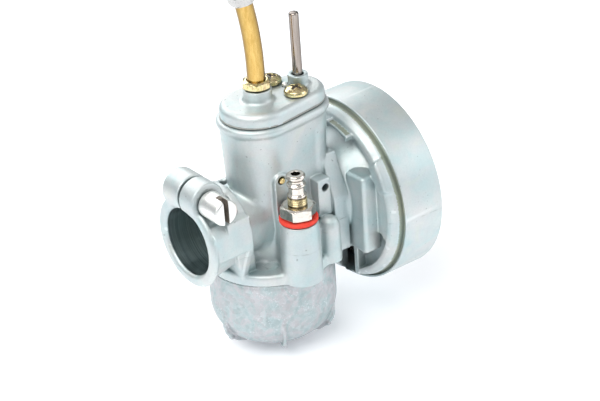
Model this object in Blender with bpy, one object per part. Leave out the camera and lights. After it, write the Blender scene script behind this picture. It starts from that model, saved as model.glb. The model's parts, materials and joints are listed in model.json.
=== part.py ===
"""Slide-throttle carburetor with a clamp-on engine end and a cast-on air filter drum.

Every length below, every mesh and every location is in millimetres: the assembly
empty that holds all the pieces is scaled by MM, which turns them into metres.
The assembly empty sits where the throat axis meets the throttle slide axis:
+X runs along the throat to the filter drum, -Y is the fuel inlet side, +Z is up.
World zero is the middle of the float bowl bolt's flat end, straight below that point.
"""
import math

import bmesh
import bpy
from mathutils import Vector

MM = 0.001
GAP = 0.3                      # clearance between neighbouring pieces

# ---- driving dimensions ------------------------------------------------------
THROAT_HEIGHT = 43.3           # throat axis above the bolt's flat end
BORE_R = 10.6                  # clamp bore on the engine stub
VENTURI_R = 8.5
CLAMP_FACE_X = -29.8
CLAMP_BORE_END_X = -16.5
SLEEVE_R = 13.3
SLEEVE_LIP_R = 14.3
TUBE_R = 10.2                  # casting around the throat
COLLAR_R = 14.2                # rim at the clamp's inner end
COLLAR_BACK_X = -15.2
COLLAR_FRONT_X = -17.4
DRUM_R = 29.87
DRUM_WALL = 1.9
DRUM_DROP = 4.0                # drum axis below the throat axis
DRUM_RIM_X = 29.63
DRUM_MOUTH_X = 43.76
DRUM_FLOOR_X = 30.4
BACK_PLATE_X = 27.8
RING_INNER_R = 23.5            # raised ring on the drum's back

SLIDE_R = 9.0
SLIDE_BORE_R = SLIDE_R + GAP
SLIDE_BOTTOM_Z = -8.2
SLIDE_LENGTH = 24.0

CHOKE_X = 14.97                # choke rod axis, on the small end of the tower
CHOKE_PLATE_T = 0.9
CHOKE_PLATE_HALF = 8.0
CHOKE_ROD_R = 1.5

LIP_BOTTOM_Z = 29.2
LIP_TOP_Z = 31.9
COVER_BOTTOM_Z = 32.9
COVER_TOP_Z = 36.3
COLLAR_TOP_Z = 38.8

FLANGE_R = 19.4
FLANGE_TOP_Z = -12.5
FLANGE_BOTTOM_Z = -16.0
BOWL_TOP_Z = -17.1
BOWL_SIDE_END_Z = -29.0
BOWL_ROUND_R = 12.0
BOWL_WALL = 1.8
BOWL_BOTTOM_Z = -41.0

INLET_X = -1.5
INLET_Y = -18.0
INLET_BOSS_TOP_Z = 3.6
SEAT_Y = -10.0                 # float needle, straight above the float's tang
FLOAT_PIN_Y = -14.0
FLOAT_PIN_Z = -19.8
FLOAT_PIN_R = 0.8

JET_POST_R = 4.6
JET_BORE_R = 2.6
JET_R = JET_BORE_R - GAP
JET_POST_BOTTOM_Z = -35.5

BARREL_X = -25.2               # clamp barrel, across the slit above the bore
BARREL_Z = 14.4
BARREL_R = 5.9
CLAMP_HEAD_R = 4.0

ELBOW_R = 2.7
ELBOW_STRAIGHT_TOP = 46.0
ELBOW_BEND_R = 100.0
ELBOW_LEAN = 12.5
ELBOW_END = 5.5

IDLE_X = 0.0
IDLE_Z = -6.0
IDLE_R = 2.0

# (x, radius) of the big and the small end of the tower's oval
TOWER_FOOT = ((-0.6, 10.2), (12.0, 8.3))
TOWER_HEAD = ((-0.8, 11.4), (12.2, 10.0))
LIP_OVAL = ((-0.8, 12.2), (12.4, 10.7))
COVER_OVAL = ((-0.5, 11.2), (13.2, 9.1))
COVER_SCREWS = {"front": (10.3, -4.9), "rear": (9.4, 6.6)}
RIVET_AT = (11.3, 1.7, 0.0)
COVER_SHANK_R = 1.6

ALONG_X = (0.0, math.pi / 2, 0.0)
ALONG_Y = (-math.pi / 2, 0.0, 0.0)
TOWARDS_MINUS_Y = (math.pi / 2, 0.0, 0.0)

# ---- finishes ----------------------------------------------------------------
FINISHES = {
    "zinc_casting": ((0.62, 0.68, 0.69, 1.0), 0.38, 0.85),
    "bowl_casting": ((0.50, 0.51, 0.53, 1.0), 0.52, 0.75),
    "yellow_zinc": ((0.66, 0.58, 0.34, 1.0), 0.28, 1.0),
    "bright_zinc": ((0.80, 0.81, 0.80, 1.0), 0.30, 0.95),
    "brass": ((0.80, 0.58, 0.24, 1.0), 0.25, 1.0),
    "nickel": ((0.62, 0.56, 0.48, 1.0), 0.16, 1.0),
    "steel": ((0.55, 0.52, 0.49, 1.0), 0.22, 1.0),
    "spring_steel": ((0.45, 0.45, 0.46, 1.0), 0.30, 1.0),
    "red_fibre": ((0.80, 0.10, 0.05, 1.0), 0.60, 0.0),
    "gasket_paper": ((0.20, 0.19, 0.17, 1.0), 0.85, 0.0),
    "float_plastic": ((0.86, 0.84, 0.76, 1.0), 0.45, 0.0),
    "wire_mesh": ((0.50, 0.50, 0.50, 1.0), 0.40, 0.9),
}


def clear_scene():
    for old in list(bpy.data.objects):
        bpy.data.objects.remove(old, do_unlink=True)


def finish_material(name):
    found = bpy.data.materials.get(name)
    if found:
        return found
    colour, roughness, metallic = FINISHES[name]
    made = bpy.data.materials.new(name)
    made.use_nodes = True
    shader = made.node_tree.nodes["Principled BSDF"]
    shader.inputs["Base Color"].default_value = colour
    shader.inputs["Roughness"].default_value = roughness
    shader.inputs["Metallic"].default_value = metallic
    made.diffuse_color = colour
    return made


# ---- outlines: lists of (a, b) points, anticlockwise -----------------------------
def arc(centre, radius, start, stop, steps):
    """Points on an arc, angles in degrees, both ends included."""
    points = []
    for step in range(steps + 1):
        angle = math.radians(start + (stop - start) * step / steps)
        points.append((centre[0] + radius * math.cos(angle), centre[1] + radius * math.sin(angle)))
    return points


def ring_points(radius, steps, centre=(0.0, 0.0), turn=0.0):
    return arc(centre, radius, turn, turn + 360.0 * (steps - 1) / steps, steps - 1)


def oval(ends, steps=11, inset=0.0):
    """Outline around two circles on the x axis: ends is ((x, r), (x, r)), big end first."""
    (big_x, big_r), (small_x, small_r) = ends
    lean = math.degrees(math.asin((big_r - small_r) / (small_x - big_x)))
    small = arc((small_x, 0.0), small_r - inset, -90.0 + lean, 90.0 - lean, steps)
    big = arc((big_x, 0.0), big_r - inset, 90.0 - lean, 270.0 + lean, steps)
    return small + big


def rectangle(low, high):
    return [(low[0], low[1]), (high[0], low[1]), (high[0], high[1]), (low[0], high[1])]


# ---- meshes, in millimetres --------------------------------------------------
def cap_face(bm, ring):
    if len(ring) > 2:
        bm.faces.new(ring)


def bridge(bm, first, second):
    """Faces between two rings; a ring of one vertex is a point on the axis."""
    if len(first) == 1 and len(second) == 1:
        return
    count = max(len(first), len(second))
    for k in range(count):
        after = (k + 1) % count
        if len(first) == 1:
            bm.faces.new((first[0], second[k], second[after]))
        elif len(second) == 1:
            bm.faces.new((first[k], first[after], second[0]))
        else:
            bm.faces.new((first[k], first[after], second[after], second[k]))


def loft(sections):
    """Solid through sections, each an equal-length list of (x, y, z)."""
    bm = bmesh.new()
    rings = [[bm.verts.new(point) for point in section] for section in sections]
    for below, above in zip(rings, rings[1:]):
        bridge(bm, below, above)
    cap_face(bm, rings[0])
    cap_face(bm, rings[-1])
    return bm


def flat_sided(bm):
    """Split the side faces, which twist between sections of different shape."""
    bmesh.ops.triangulate(bm, faces=[face for face in bm.faces if len(face.verts) == 4])
    return bm


def prism(outline, low, high):
    return loft([[(a, b, z) for a, b in outline] for z in (low, high)])


def block(low, high):
    return prism(rectangle(low[:2], high[:2]), low[2], high[2])


def side_prism(outline, low, high):
    """Prism across the body: the outline holds (x, z), the ends are at y."""
    return loft([[(a, y, b) for a, b in outline] for y in (low, high)])


def front_prism(outline, low, high):
    """Prism along the throat: the outline holds (y, z), the ends are at x."""
    return loft([[(x, a, b) for a, b in outline] for x in (low, high)])


def turned(profile, steps=32, loop=False):
    """Solid turned about local z from (radius, height) points; a loop makes a ring."""
    bm = bmesh.new()
    rings = []
    for radius, height in profile:
        count = steps if radius > 1e-6 else 1
        ring = []
        for k in range(count):
            angle = 2.0 * math.pi * k / steps
            ring.append(bm.verts.new((radius * math.cos(angle), radius * math.sin(angle), height)))
        rings.append(ring)
    for first, second in zip(rings, rings[1:]):
        bridge(bm, first, second)
    if loop:
        bridge(bm, rings[-1], rings[0])
    return bm


def rod(radius, low, high, steps=24, chamfer=0.0):
    """Round bar about local z, with an optional chamfer at both ends."""
    if not chamfer:
        return turned([(0, low), (radius, low), (radius, high), (0, high)], steps)
    inner = radius - chamfer
    return turned([(0, low), (inner, low), (radius, low + chamfer),
                   (radius, high - chamfer), (inner, high), (0, high)], steps)


def pipe(outer, inner, low, high, steps=32):
    return turned([(inner, low), (outer, low), (outer, high), (inner, high)], steps, loop=True)


def hexagon_nut(across_flats, hole, low, high):
    """Hexagon with its corners turned off, and a round hole where hole > 0."""
    corner = across_flats / math.sqrt(3.0)
    edge = 0.12 * across_flats
    sides = 24
    rings = []
    for height, reach in ((low, corner * 0.93), (low + edge * 0.5, corner),
                          (high - edge * 0.5, corner), (high, corner * 0.93)):
        section = []
        for k in range(sides):
            angle = 2.0 * math.pi * k / sides
            off = (angle + math.pi / 6.0) % (math.pi / 3.0) - math.pi / 6.0
            flat = across_flats / 2.0 / math.cos(off)
            radius = min(flat, reach)
            section.append((radius * math.cos(angle), radius * math.sin(angle), height))
        rings.append(section)
    if hole:
        for height in (high, low):
            rings.append([(a, b, height) for a, b in ring_points(hole, sides)])
    bm = bmesh.new()
    made = [[bm.verts.new(point) for point in section] for section in rings]
    for first, second in zip(made, made[1:]):
        bridge(bm, first, second)
    if hole:
        bridge(bm, made[-1], made[0])
    else:
        cap_face(bm, made[0])
        cap_face(bm, made[-1])
    return bm


def swept(path, sections, closed_tube=None, steps=16):
    """Round bar along path points; sections are radii, closed_tube is the bore's radius."""
    points = [Vector(point) for point in path]
    bm = bmesh.new()
    normal = Vector((0.0, 1.0, 0.0))
    outer, inner = [], []
    for index, point in enumerate(points):
        ahead = points[min(index + 1, len(points) - 1)] - points[max(index - 1, 0)]
        ahead.normalize()
        side = normal - ahead * normal.dot(ahead)
        side.normalize()
        across = ahead.cross(side)
        normal = side
        for radius, ring_list in ((sections[index], outer), (closed_tube, inner)):
            if radius is None:
                continue
            ring = []
            for k in range(steps):
                angle = 2.0 * math.pi * k / steps
                reach = side * math.cos(angle) + across * math.sin(angle)
                ring.append(bm.verts.new(point + reach * radius))
            ring_list.append(ring)
    for first, second in zip(outer, outer[1:]):
        bridge(bm, first, second)
    for first, second in zip(inner, inner[1:]):
        bridge(bm, first, second)
    for end in (0, -1):
        if inner:
            bridge(bm, outer[end], inner[end])
        else:
            cap_face(bm, outer[end])
    return bm


# ---- objects -------------------------------------------------------------------
def place(name, bm, at=(0.0, 0.0, 0.0), turn=(0.0, 0.0, 0.0), parent=None):
    """Object from a millimetre mesh; at is in the assembly's frame unless it has a parent."""
    bmesh.ops.recalc_face_normals(bm, faces=bm.faces)
    mesh = bpy.data.meshes.new(name)
    bm.to_mesh(mesh)
    bm.free()
    made = bpy.data.objects.new(name, mesh)
    bpy.context.scene.collection.objects.link(made)
    made.parent = parent or ASSEMBLY
    made.location = at
    made.rotation_euler = turn
    return made


def piece(name, finish, bm, at=(0.0, 0.0, 0.0), turn=(0.0, 0.0, 0.0), parent=None, sharp=35.0):
    made = place(name, bm, at, turn, parent)
    made.data.materials.append(finish_material(finish))
    made.data.shade_smooth()
    made.data.set_sharp_from_angle(angle=math.radians(sharp))
    return made


def bevel(target, width, angle=40.0, segments=1):
    edge = target.modifiers.new("edges", "BEVEL")
    edge.width = width
    edge.segments = segments
    edge.limit_method = "ANGLE"
    edge.angle_limit = math.radians(angle)


def guide_group(target, operation):
    """Collection of hidden solids that one Boolean joins to the target or cuts from it."""
    name = "%s_%s" % (target.name, operation.lower())
    group = bpy.data.collections.get(name)
    if group is None:
        group = bpy.data.collections.new(name)
        bpy.context.scene.collection.children.link(group)
    if name not in target.modifiers:
        step = target.modifiers.new(name, "BOOLEAN")
        step.operation = operation
        step.solver = "EXACT"
        step.operand_type = "COLLECTION"
        step.collection = group
    return group


def combine(target, operation, name, bm, at=(0.0, 0.0, 0.0), turn=(0.0, 0.0, 0.0), edge=0.0):
    """Give the target's Boolean one more hidden solid; every join comes before every cut."""
    guide = place(name, bm, at, turn, target.parent)
    if edge:
        bevel(guide, edge)
        guide.modifiers.new("triangles", "TRIANGULATE")
    guide.hide_render = True
    guide.display_type = "WIRE"
    bpy.context.scene.collection.objects.unlink(guide)
    guide_group(target, operation).objects.link(guide)


def join(target, name, bm, at=(0.0, 0.0, 0.0), turn=(0.0, 0.0, 0.0), edge=0.0):
    combine(target, "UNION", name, bm, at, turn, edge)


def cut(target, name, bm, at=(0.0, 0.0, 0.0), turn=(0.0, 0.0, 0.0)):
    combine(target, "DIFFERENCE", name, bm, at, turn)


def empty(name, at, parent=None):
    made = bpy.data.objects.new(name, None)
    bpy.context.scene.collection.objects.link(made)
    made.parent = parent
    made.location = at
    return made


# ---- body casting ----------------------------------------------------------------
def oval_section(ends, height):
    return [(a, b, height) for a, b in oval(ends)]


def circle_section(x, radius, centre_z, steps=30):
    return [(x, a, b + centre_z) for a, b in ring_points(radius, steps)]


def tower():
    """Oval slide housing with a thickened lip under the cover."""
    lip_low, lip_high = 0.5, 1.0
    crown = ((-0.9, 11.4), (12.7, 9.7))
    return flat_sided(loft([
        oval_section(TOWER_FOOT, -6.0),
        oval_section(TOWER_HEAD, LIP_BOTTOM_Z - lip_low),
        oval_section(LIP_OVAL, LIP_BOTTOM_Z),
        oval_section(LIP_OVAL, LIP_TOP_Z - lip_high),
        oval_section(crown, LIP_TOP_Z),
    ]))


def drum_shell():
    """Filter drum with its stepped back wall, turned about the drum axis."""
    step_r = 28.4
    return turned([
        (0.0, BACK_PLATE_X), (RING_INNER_R, BACK_PLATE_X), (RING_INNER_R, 26.4), (24.3, 25.7),
        (25.6, 25.4), (26.9, 25.9), (28.2, 27.3), (step_r, 28.7), (DRUM_R - 0.6, 28.7),
        (DRUM_R, DRUM_RIM_X), (DRUM_R, DRUM_MOUTH_X), (0.0, DRUM_MOUTH_X),
    ], 48)


def bell(wall):
    """Funnel from the tower to the drum; wall is taken off its radii for the inside."""
    stations = ((12.0, 12.2, 0.0), (17.0, 12.8, -0.4), (20.5, 14.4, -1.6), (24.0, 17.2, -3.0),
                (28.0, 21.0, -4.0))
    if not wall:
        return flat_sided(loft([circle_section(x, r, z) for x, r, z in stations]))
    inside = [(13.0, VENTURI_R, 0.0), (17.5, VENTURI_R + 0.9, 0.0)]
    inside += [(x + wall * 0.8, r - wall, z) for x, r, z in stations[2:]]
    inside.append((DRUM_FLOOR_X + 1.0, 20.6, -DRUM_DROP))
    return flat_sided(loft([circle_section(x, r, z) for x, r, z in inside]))


def collar_outline():
    """Round rim with a flat on each side, down to the bowl flange."""
    flat, flat_top, shoulder = 14.0, 4.4, (12.7, 8.2)
    foot = FLANGE_BOTTOM_Z + 0.4
    top = arc((0.0, 0.0), COLLAR_R, 40.0, 140.0, 12)
    right = [(9.4, foot), (9.8, FLANGE_TOP_Z), (flat, -2.0), (flat, flat_top), shoulder]
    left = [(-y, z) for y, z in reversed(right)]
    return right + top + left


def leg(side):
    """Gusset under the rim, from the flat of the clamp down to the flange."""
    sections = []
    for z, back, near, far in ((FLANGE_BOTTOM_Z + 0.4, -11.7, 6.0, 9.2),
                               (FLANGE_TOP_Z, -11.7, 6.0, 9.2), (-1.0, COLLAR_BACK_X, 6.0, 13.6)):
        front = COLLAR_FRONT_X + 0.6
        near, far = sorted((side * near, side * far))
        sections.append([(front, near, z), (back, near, z), (back, far, z), (front, far, z)])
    return flat_sided(loft(sections))


def add_clamp(body):
    sleeve = turned([(0, CLAMP_FACE_X), (SLEEVE_LIP_R - 0.9, CLAMP_FACE_X),
                     (SLEEVE_LIP_R, CLAMP_FACE_X + 0.9),
                     (SLEEVE_LIP_R, CLAMP_FACE_X + 1.6), (SLEEVE_R, CLAMP_FACE_X + 2.3),
                     (SLEEVE_R, COLLAR_BACK_X), (0, COLLAR_BACK_X)], 36)
    join(body, "guide_sleeve", sleeve, turn=ALONG_X)
    join(body, "guide_barrel", rod(BARREL_R, -7.0, 8.2, 28, 0.8), (BARREL_X, 0.0, BARREL_Z), ALONG_Y)
    join(body, "guide_collar", front_prism(collar_outline(), COLLAR_FRONT_X, COLLAR_BACK_X), edge=0.4)
    for name, side in (("near", -1.0), ("far", 1.0)):
        join(body, "guide_leg_" + name, leg(side))
    join(body, "guide_bracket", block((-23.0, -5.0, 5.0), (COLLAR_BACK_X - 0.5, 4.4, 13.7)), edge=0.6)
    low_flank = [(-13.9, -2.3), (-6.0, -2.3), (-6.0, 8.6), (-11.0, 8.6), (-13.9, 6.0)]
    join(body, "guide_low_flank", front_prism(low_flank, -28.6, COLLAR_BACK_X - 0.4))
    high_flank = [(-13.8, -2.1), (-6.2, -2.1), (-6.2, 9.2), (-13.8, 9.2)]
    join(body, "guide_high_flank", front_prism(high_flank, -23.8, COLLAR_BACK_X - 0.6), edge=0.5)
    head_room = rod(CLAMP_HEAD_R + 0.4, 7.0, 22.0, 24)
    cut(body, "cut_head_room", head_room, (BARREL_X, 0.0, BARREL_Z), TOWARDS_MINUS_Y)
    cut(body, "cut_clamp_screw", rod(2.8, -20.0, 20.0, 20), (BARREL_X, 0.0, BARREL_Z), ALONG_Y)
    cut(body, "cut_nut_seat", rod(4.8, 4.6, 20.0, 20), (BARREL_X, 0.0, BARREL_Z), ALONG_Y)
    cut(body, "cut_slit", block((-34.0, -0.5, 5.0), (-17.9, 0.5, 23.0)))


def add_flange_and_inlet(body):
    flange = turned([(0, FLANGE_BOTTOM_Z), (FLANGE_R, FLANGE_BOTTOM_Z),
                     (FLANGE_R, FLANGE_TOP_Z - 1.4), (FLANGE_R - 0.5, FLANGE_TOP_Z - 0.4),
                     (FLANGE_R - 1.5, FLANGE_TOP_Z), (0, FLANGE_TOP_Z)], 40)
    join(body, "guide_flange", flange)
    boss_foot_z = FLANGE_BOTTOM_Z + 0.3
    boss = turned([(0, boss_foot_z), (6.3, boss_foot_z), (5.7, INLET_BOSS_TOP_Z),
                   (0, INLET_BOSS_TOP_Z)], 28)
    join(body, "guide_inlet_boss", boss, (INLET_X, INLET_Y, 0.0))
    join(body, "guide_inlet_web", block((-4.6, -17.0, -15.0), (2.6, -6.0, 2.4)), edge=0.6)
    join(body, "guide_pedestal", block((COLLAR_BACK_X - 0.4, -6.0, -15.2), (-2.0, 6.0, -4.0)))
    pillar = turned([(0, -15.6), (3.2, -15.6), (3.2, -3.4), (2.3, -1.3), (0, -0.6)], 28)
    join(body, "guide_pillar", pillar, (11.3, -15.7, 0.0))
    join(body, "guide_pillar_web", block((2.0, -15.6, -15.4), (12.0, -7.0, -3.0)), edge=0.8)
    cut(body, "cut_spot_face", rod(6.15, INLET_BOSS_TOP_Z, 13.0, 28), (INLET_X, INLET_Y, 0.0))
    cut(body, "cut_inlet", rod(2.9, -1.0, 8.0, 24), (INLET_X, INLET_Y, 0.0))
    cut(body, "cut_inlet_drill", rod(1.8, -13.4, 2.0, 16), (INLET_X, INLET_Y, 0.0))
    cut(body, "cut_inlet_cross", rod(1.1, 9.0, 17.6, 12), (INLET_X, 0.0, -12.4), TOWARDS_MINUS_Y)


def add_tower_fittings(body):
    pad = [(-4.6, 0.0), (0.6, 0.0)] + arc((-2.0, 14.3), 2.6, 0.0, 180.0, 10)
    join(body, "guide_pin_pad", side_prism(pad, -11.75, -7.0))
    join(body, "guide_lug", block((9.8, -13.2, -2.0), (14.6, -6.0, 10.2)), edge=0.5)
    join(body, "guide_rear_lug", block((-13.4, 1.9, 4.0), (-8.0, 8.0, 11.0)), edge=0.4)
    cut(body, "cut_lug_hole", rod(1.2, 8.8, 16.0, 16), (12.7, 0.0, 7.2), TOWARDS_MINUS_Y)
    cut(body, "cut_rear_lug_hole", rod(1.3, 6.0, 14.0, 16), (-11.2, 5.5, 0.0))
    idle_boss = turned([(0, 8.0), (5.2, 8.0), (4.4, 17.0), (0, 17.0)], 28)
    join(body, "guide_idle_boss", idle_boss, (IDLE_X, 0.0, IDLE_Z), ALONG_Y)
    cut(body, "cut_idle", rod(IDLE_R + GAP, 6.0, 20.0, 20), (IDLE_X, 0.0, IDLE_Z), ALONG_Y)
    for name, (x, y) in COVER_SCREWS.items():
        join(body, "guide_screw_post_" + name, rod(2.9, 21.0, LIP_TOP_Z - 0.1, 16), (x, 0.9 * y, 0.0))


def window_outline(inner_r, outer_r, angles):
    """Part of an annulus in the drum's back wall, (y, z); angles are outer ends, inner ends."""
    outer_start, outer_stop, inner_start, inner_stop = angles
    outer = arc((0.0, -DRUM_DROP), outer_r, outer_start, outer_stop, 8)
    inner = arc((0.0, -DRUM_DROP), inner_r, inner_stop, inner_start, 8)
    return outer + inner


def drum_web():
    """Upright web beside the box, leaning back against the bell at its top."""
    sections = []
    for z, right, near in ((-15.8, 22.4, -11.9), (0.8, 22.4, -11.9), (14.0, 20.6, -8.2)):
        sections.append([(x, y, z) for x, y in rectangle((12.0, near), (right, -5.0))])
    return flat_sided(loft(sections))


def add_filter_end(body):
    join(body, "guide_bell", bell(0.0))
    join(body, "guide_drum", drum_shell(), (0.0, 0.0, -DRUM_DROP), ALONG_X)
    join(body, "guide_web", drum_web())
    hook = arc((0.0, -DRUM_DROP), 25.4, 93.0, 115.0, 6) + arc((0.0, -DRUM_DROP), 24.0, 115.0, 93.0, 6)
    join(body, "guide_hook", front_prism(hook, 23.2, BACK_PLATE_X + 1.0))
    pad = arc((0.0, -DRUM_DROP), 28.2, 140.0, 166.0, 6) + arc((0.0, -DRUM_DROP), 24.4, 166.0, 140.0, 6)
    join(body, "guide_ring_pad", front_prism(pad, 24.8, 28.2), edge=0.8)
    cut(body, "cut_drum", rod(DRUM_R - DRUM_WALL, DRUM_FLOOR_X, 60.0, 48), (0.0, 0.0, -DRUM_DROP), ALONG_X)
    cut(body, "cut_bell", bell(2.0))
    through = window_outline(18.0, 25.4, (-109.6, -88.0, -118.2, -88.0))
    cut(body, "cut_window", front_prism(through, 16.0, 32.0))
    blind = window_outline(21.8, 25.4, (-162.0, -112.5, -162.0, -116.9))
    cut(body, "cut_recess", front_prism(blind, 20.0, BACK_PLATE_X + 0.8))
    join(body, "guide_box", block((21.6, -21.3, -17.4), (27.5, -12.4, 10.3)), edge=1.4)


def add_float_gear_supports(body):
    join(body, "guide_jet_post", rod(JET_POST_R, JET_POST_BOTTOM_Z, FLANGE_TOP_Z, 26))
    seat_boss = rod(3.4, -17.4, FLANGE_TOP_Z, 20)
    join(body, "guide_seat_boss", seat_boss, (INLET_X, SEAT_Y, 0.0))
    for name, x in (("left", INLET_X - 4.7), ("right", INLET_X + 4.7)):
        low = (x - 0.9, FLOAT_PIN_Y - 1.6, FLOAT_PIN_Z - 1.9)
        high = (x + 0.9, FLOAT_PIN_Y + 1.6, FLANGE_BOTTOM_Z + 1.0)
        join(body, "guide_pin_ear_" + name, block(low, high))
    pin_hole = rod(FLOAT_PIN_R + GAP, INLET_X - 12.0, INLET_X + 12.0, 16)
    cut(body, "cut_float_pin", pin_hole, (0.0, FLOAT_PIN_Y, FLOAT_PIN_Z), ALONG_X)
    cut(body, "cut_seat", rod(2.6, -30.0, -11.2, 20), (INLET_X, SEAT_Y, 0.0))
    cut(body, "cut_jets", rod(JET_BORE_R, -40.0, 0.0, 28))
    cut(body, "cut_fuel_feed", rod(0.9, -8.0, 8.0, 12), (0.0, 0.0, -30.5), ALONG_X)


def add_passages(body):
    cut(body, "cut_clamp_bore", turned([(0, -40.0), (BORE_R + 0.7, -40.0), (BORE_R + 0.7, CLAMP_FACE_X),
                                        (BORE_R, CLAMP_FACE_X + 0.7), (BORE_R, CLAMP_BORE_END_X),
                                        (0, CLAMP_BORE_END_X)], 36), turn=ALONG_X)
    cut(body, "cut_venturi", rod(VENTURI_R, -20.0, 18.0, 28), turn=ALONG_X)
    cut(body, "cut_slide_bore", rod(SLIDE_BORE_R, SLIDE_BOTTOM_Z - GAP, 40.0, 32))
    pocket_half = CHOKE_PLATE_HALF + GAP
    slot = CHOKE_PLATE_T / 2 + GAP
    slot_low = (CHOKE_X - slot, -pocket_half, -VENTURI_R)
    cut(body, "cut_choke_slot", block(slot_low, (CHOKE_X + slot, pocket_half, 40.0)))
    pocket_low = (CHOKE_X - 2.0, -pocket_half + 1.0, 9.5)
    cut(body, "cut_choke_pocket", block(pocket_low, (CHOKE_X + 2.0, pocket_half - 1.0, 40.0)))
    cut(body, "cut_guide_pin", rod(0.9 + GAP, 5.0, 20.0, 16), (-2.0, 0.0, 14.5), TOWARDS_MINUS_Y)
    for name, (x, y) in COVER_SCREWS.items():
        cut(body, "cut_cover_screw_" + name, rod(COVER_SHANK_R + GAP, 25.0, 40.0, 16), (x, y, 0.0))


def build_body():
    body = piece("carburetor_body", "zinc_casting", tower())
    tube = rod(TUBE_R, COLLAR_FRONT_X + 1.0, 13.0, 36)
    join(body, "guide_throat_tube", tube, turn=ALONG_X)
    add_flange_and_inlet(body)
    add_clamp(body)
    add_tower_fittings(body)
    add_filter_end(body)
    add_float_gear_supports(body)
    add_passages(body)
    return body


# ---- cover ---------------------------------------------------------------------
def build_cover():
    rounding = 1.9
    sections = [oval_section(COVER_OVAL, COVER_BOTTOM_Z), oval_section(COVER_OVAL, COVER_TOP_Z - rounding)]
    for step in (1, 2, 3):
        angle = math.pi / 2 * step / 3
        ends = [(x, r - rounding * (1 - math.cos(angle))) for x, r in COVER_OVAL]
        sections.append(oval_section(ends, COVER_TOP_Z - rounding + rounding * math.sin(angle)))
    cover = piece("top_cover", "zinc_casting", flat_sided(loft(sections)))
    collar_foot = COVER_TOP_Z - 1.0
    join(cover, "guide_tube_collar", rod(4.4, collar_foot, COLLAR_TOP_Z, 32, 0.3))
    rod_collar = rod(3.05, collar_foot, COLLAR_TOP_Z - 0.2, 28, 0.3)
    join(cover, "guide_rod_collar", rod_collar, (CHOKE_X, 0.0, 0.0))
    cut(cover, "cut_spring_seat", rod(7.6, COVER_BOTTOM_Z - 1.0, COVER_TOP_Z - 1.6, 32))
    cut(cover, "cut_tube_thread", rod(3.0, 20.0, 50.0, 24))
    cut(cover, "cut_choke_rod", rod(CHOKE_ROD_R + GAP, 20.0, 50.0, 20), (CHOKE_X, 0.0, 0.0))
    cut(cover, "cut_rivet", rod(0.8, 20.0, 50.0, 12), RIVET_AT)
    for name, (x, y) in COVER_SCREWS.items():
        cut(cover, "cut_screw_" + name, rod(COVER_SHANK_R + GAP, 20.0, 50.0, 16), (x, y, 0.0))


def build_cover_gasket():
    gasket_ends = ((-0.6, 11.3), (13.0, 9.3))
    sheet = prism(oval(gasket_ends), LIP_TOP_Z + GAP, COVER_BOTTOM_Z - GAP)
    gasket = piece("cover_gasket", "gasket_paper", sheet)
    cut(gasket, "cut_gasket_slide", rod(SLIDE_BORE_R, 20.0, 40.0, 32))
    cut(gasket, "cut_gasket_choke", block((CHOKE_X - 2.0, -6.5, 20.0), (CHOKE_X + 2.0, 6.5, 40.0)))
    for name, (x, y) in COVER_SCREWS.items():
        cut(gasket, "cut_gasket_" + name, rod(COVER_SHANK_R + GAP, 20.0, 40.0, 16), (x, y, 0.0))


def pan_head_screw(name, x, y):
    """Pan head with a cross recess, shank straight down."""
    head_r, head_h, shank_r, length = 3.6, 2.1, COVER_SHANK_R, 10.0
    seat = COVER_TOP_Z + GAP
    dome = [(0, seat - length), (shank_r, seat - length), (shank_r, seat), (head_r, seat),
            (head_r, seat + 0.8), (head_r * 0.9, seat + 1.5), (head_r * 0.6, seat + head_h),
            (0, seat + head_h + 0.1)]
    screw = piece(name, "yellow_zinc", turned(dome, 32), (x, y, 0.0))
    for turn in (0.3, 0.3 + math.pi / 2):
        arm = block((-2.1, -0.45, seat + 0.7), (2.1, 0.45, seat + 4.0))
        cut(screw, "cut_cross_%s_%d" % (name, round(turn * 10)), arm, (x, y, 0.0), (0.0, 0.0, turn))


def build_cover_fasteners():
    for name, (x, y) in COVER_SCREWS.items():
        pan_head_screw("cover_screw_" + name, x, y)
    rivet = [(0, -2.4), (0.5, -2.4), (0.5, GAP), (0.95, GAP), (0.9, 0.7), (0.5, 1.0), (0, 1.2)]
    rivet = [(radius, COVER_TOP_Z + height) for radius, height in rivet]
    piece("cover_rivet", "bright_zinc", turned(rivet, 20), RIVET_AT)


# ---- cable elbow ---------------------------------------------------------------
def elbow_path():
    """Straight through the cover, a gentle bend towards the engine, then a straight end."""
    lean = math.radians(ELBOW_LEAN)
    path = [Vector((0.0, 0.0, 34.9)), Vector((0.0, 0.0, ELBOW_STRAIGHT_TOP))]
    for step in range(1, 7):
        angle = lean * step / 6
        sideways = -ELBOW_BEND_R * (1 - math.cos(angle))
        path.append(Vector((sideways, 0.0, ELBOW_STRAIGHT_TOP + ELBOW_BEND_R * math.sin(angle))))
    ahead = Vector((-math.sin(lean), 0.0, math.cos(lean)))
    path.append(path[-1] + ahead * ELBOW_END)
    return path, ahead


def build_cable_elbow():
    path, ahead = elbow_path()
    tilt = (0.0, -math.radians(ELBOW_LEAN), 0.0)
    piece("cable_elbow", "brass", swept(path, [ELBOW_R] * len(path), closed_tube=1.6, steps=16))
    lock_nut = hexagon_nut(8.0, ELBOW_R + GAP, COLLAR_TOP_Z + GAP, COLLAR_TOP_Z + 2.9)
    piece("elbow_lock_nut", "yellow_zinc", lock_nut, turn=(0.0, 0.0, 0.35))
    nut_at = path[-2] + ahead * 0.6
    piece("adjuster_nut", "spring_steel", hexagon_nut(7.2, ELBOW_R + GAP, 0.0, 3.2), nut_at, tilt)
    adjuster = [(1.1, GAP), (3.2, GAP), (3.4, 0.8), (3.4, 5.6), (2.9, 6.2), (2.9, 7.4), (1.1, 7.4)]
    piece("cable_adjuster", "spring_steel", turned(adjuster, 28, loop=True), path[-1], tilt)


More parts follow.
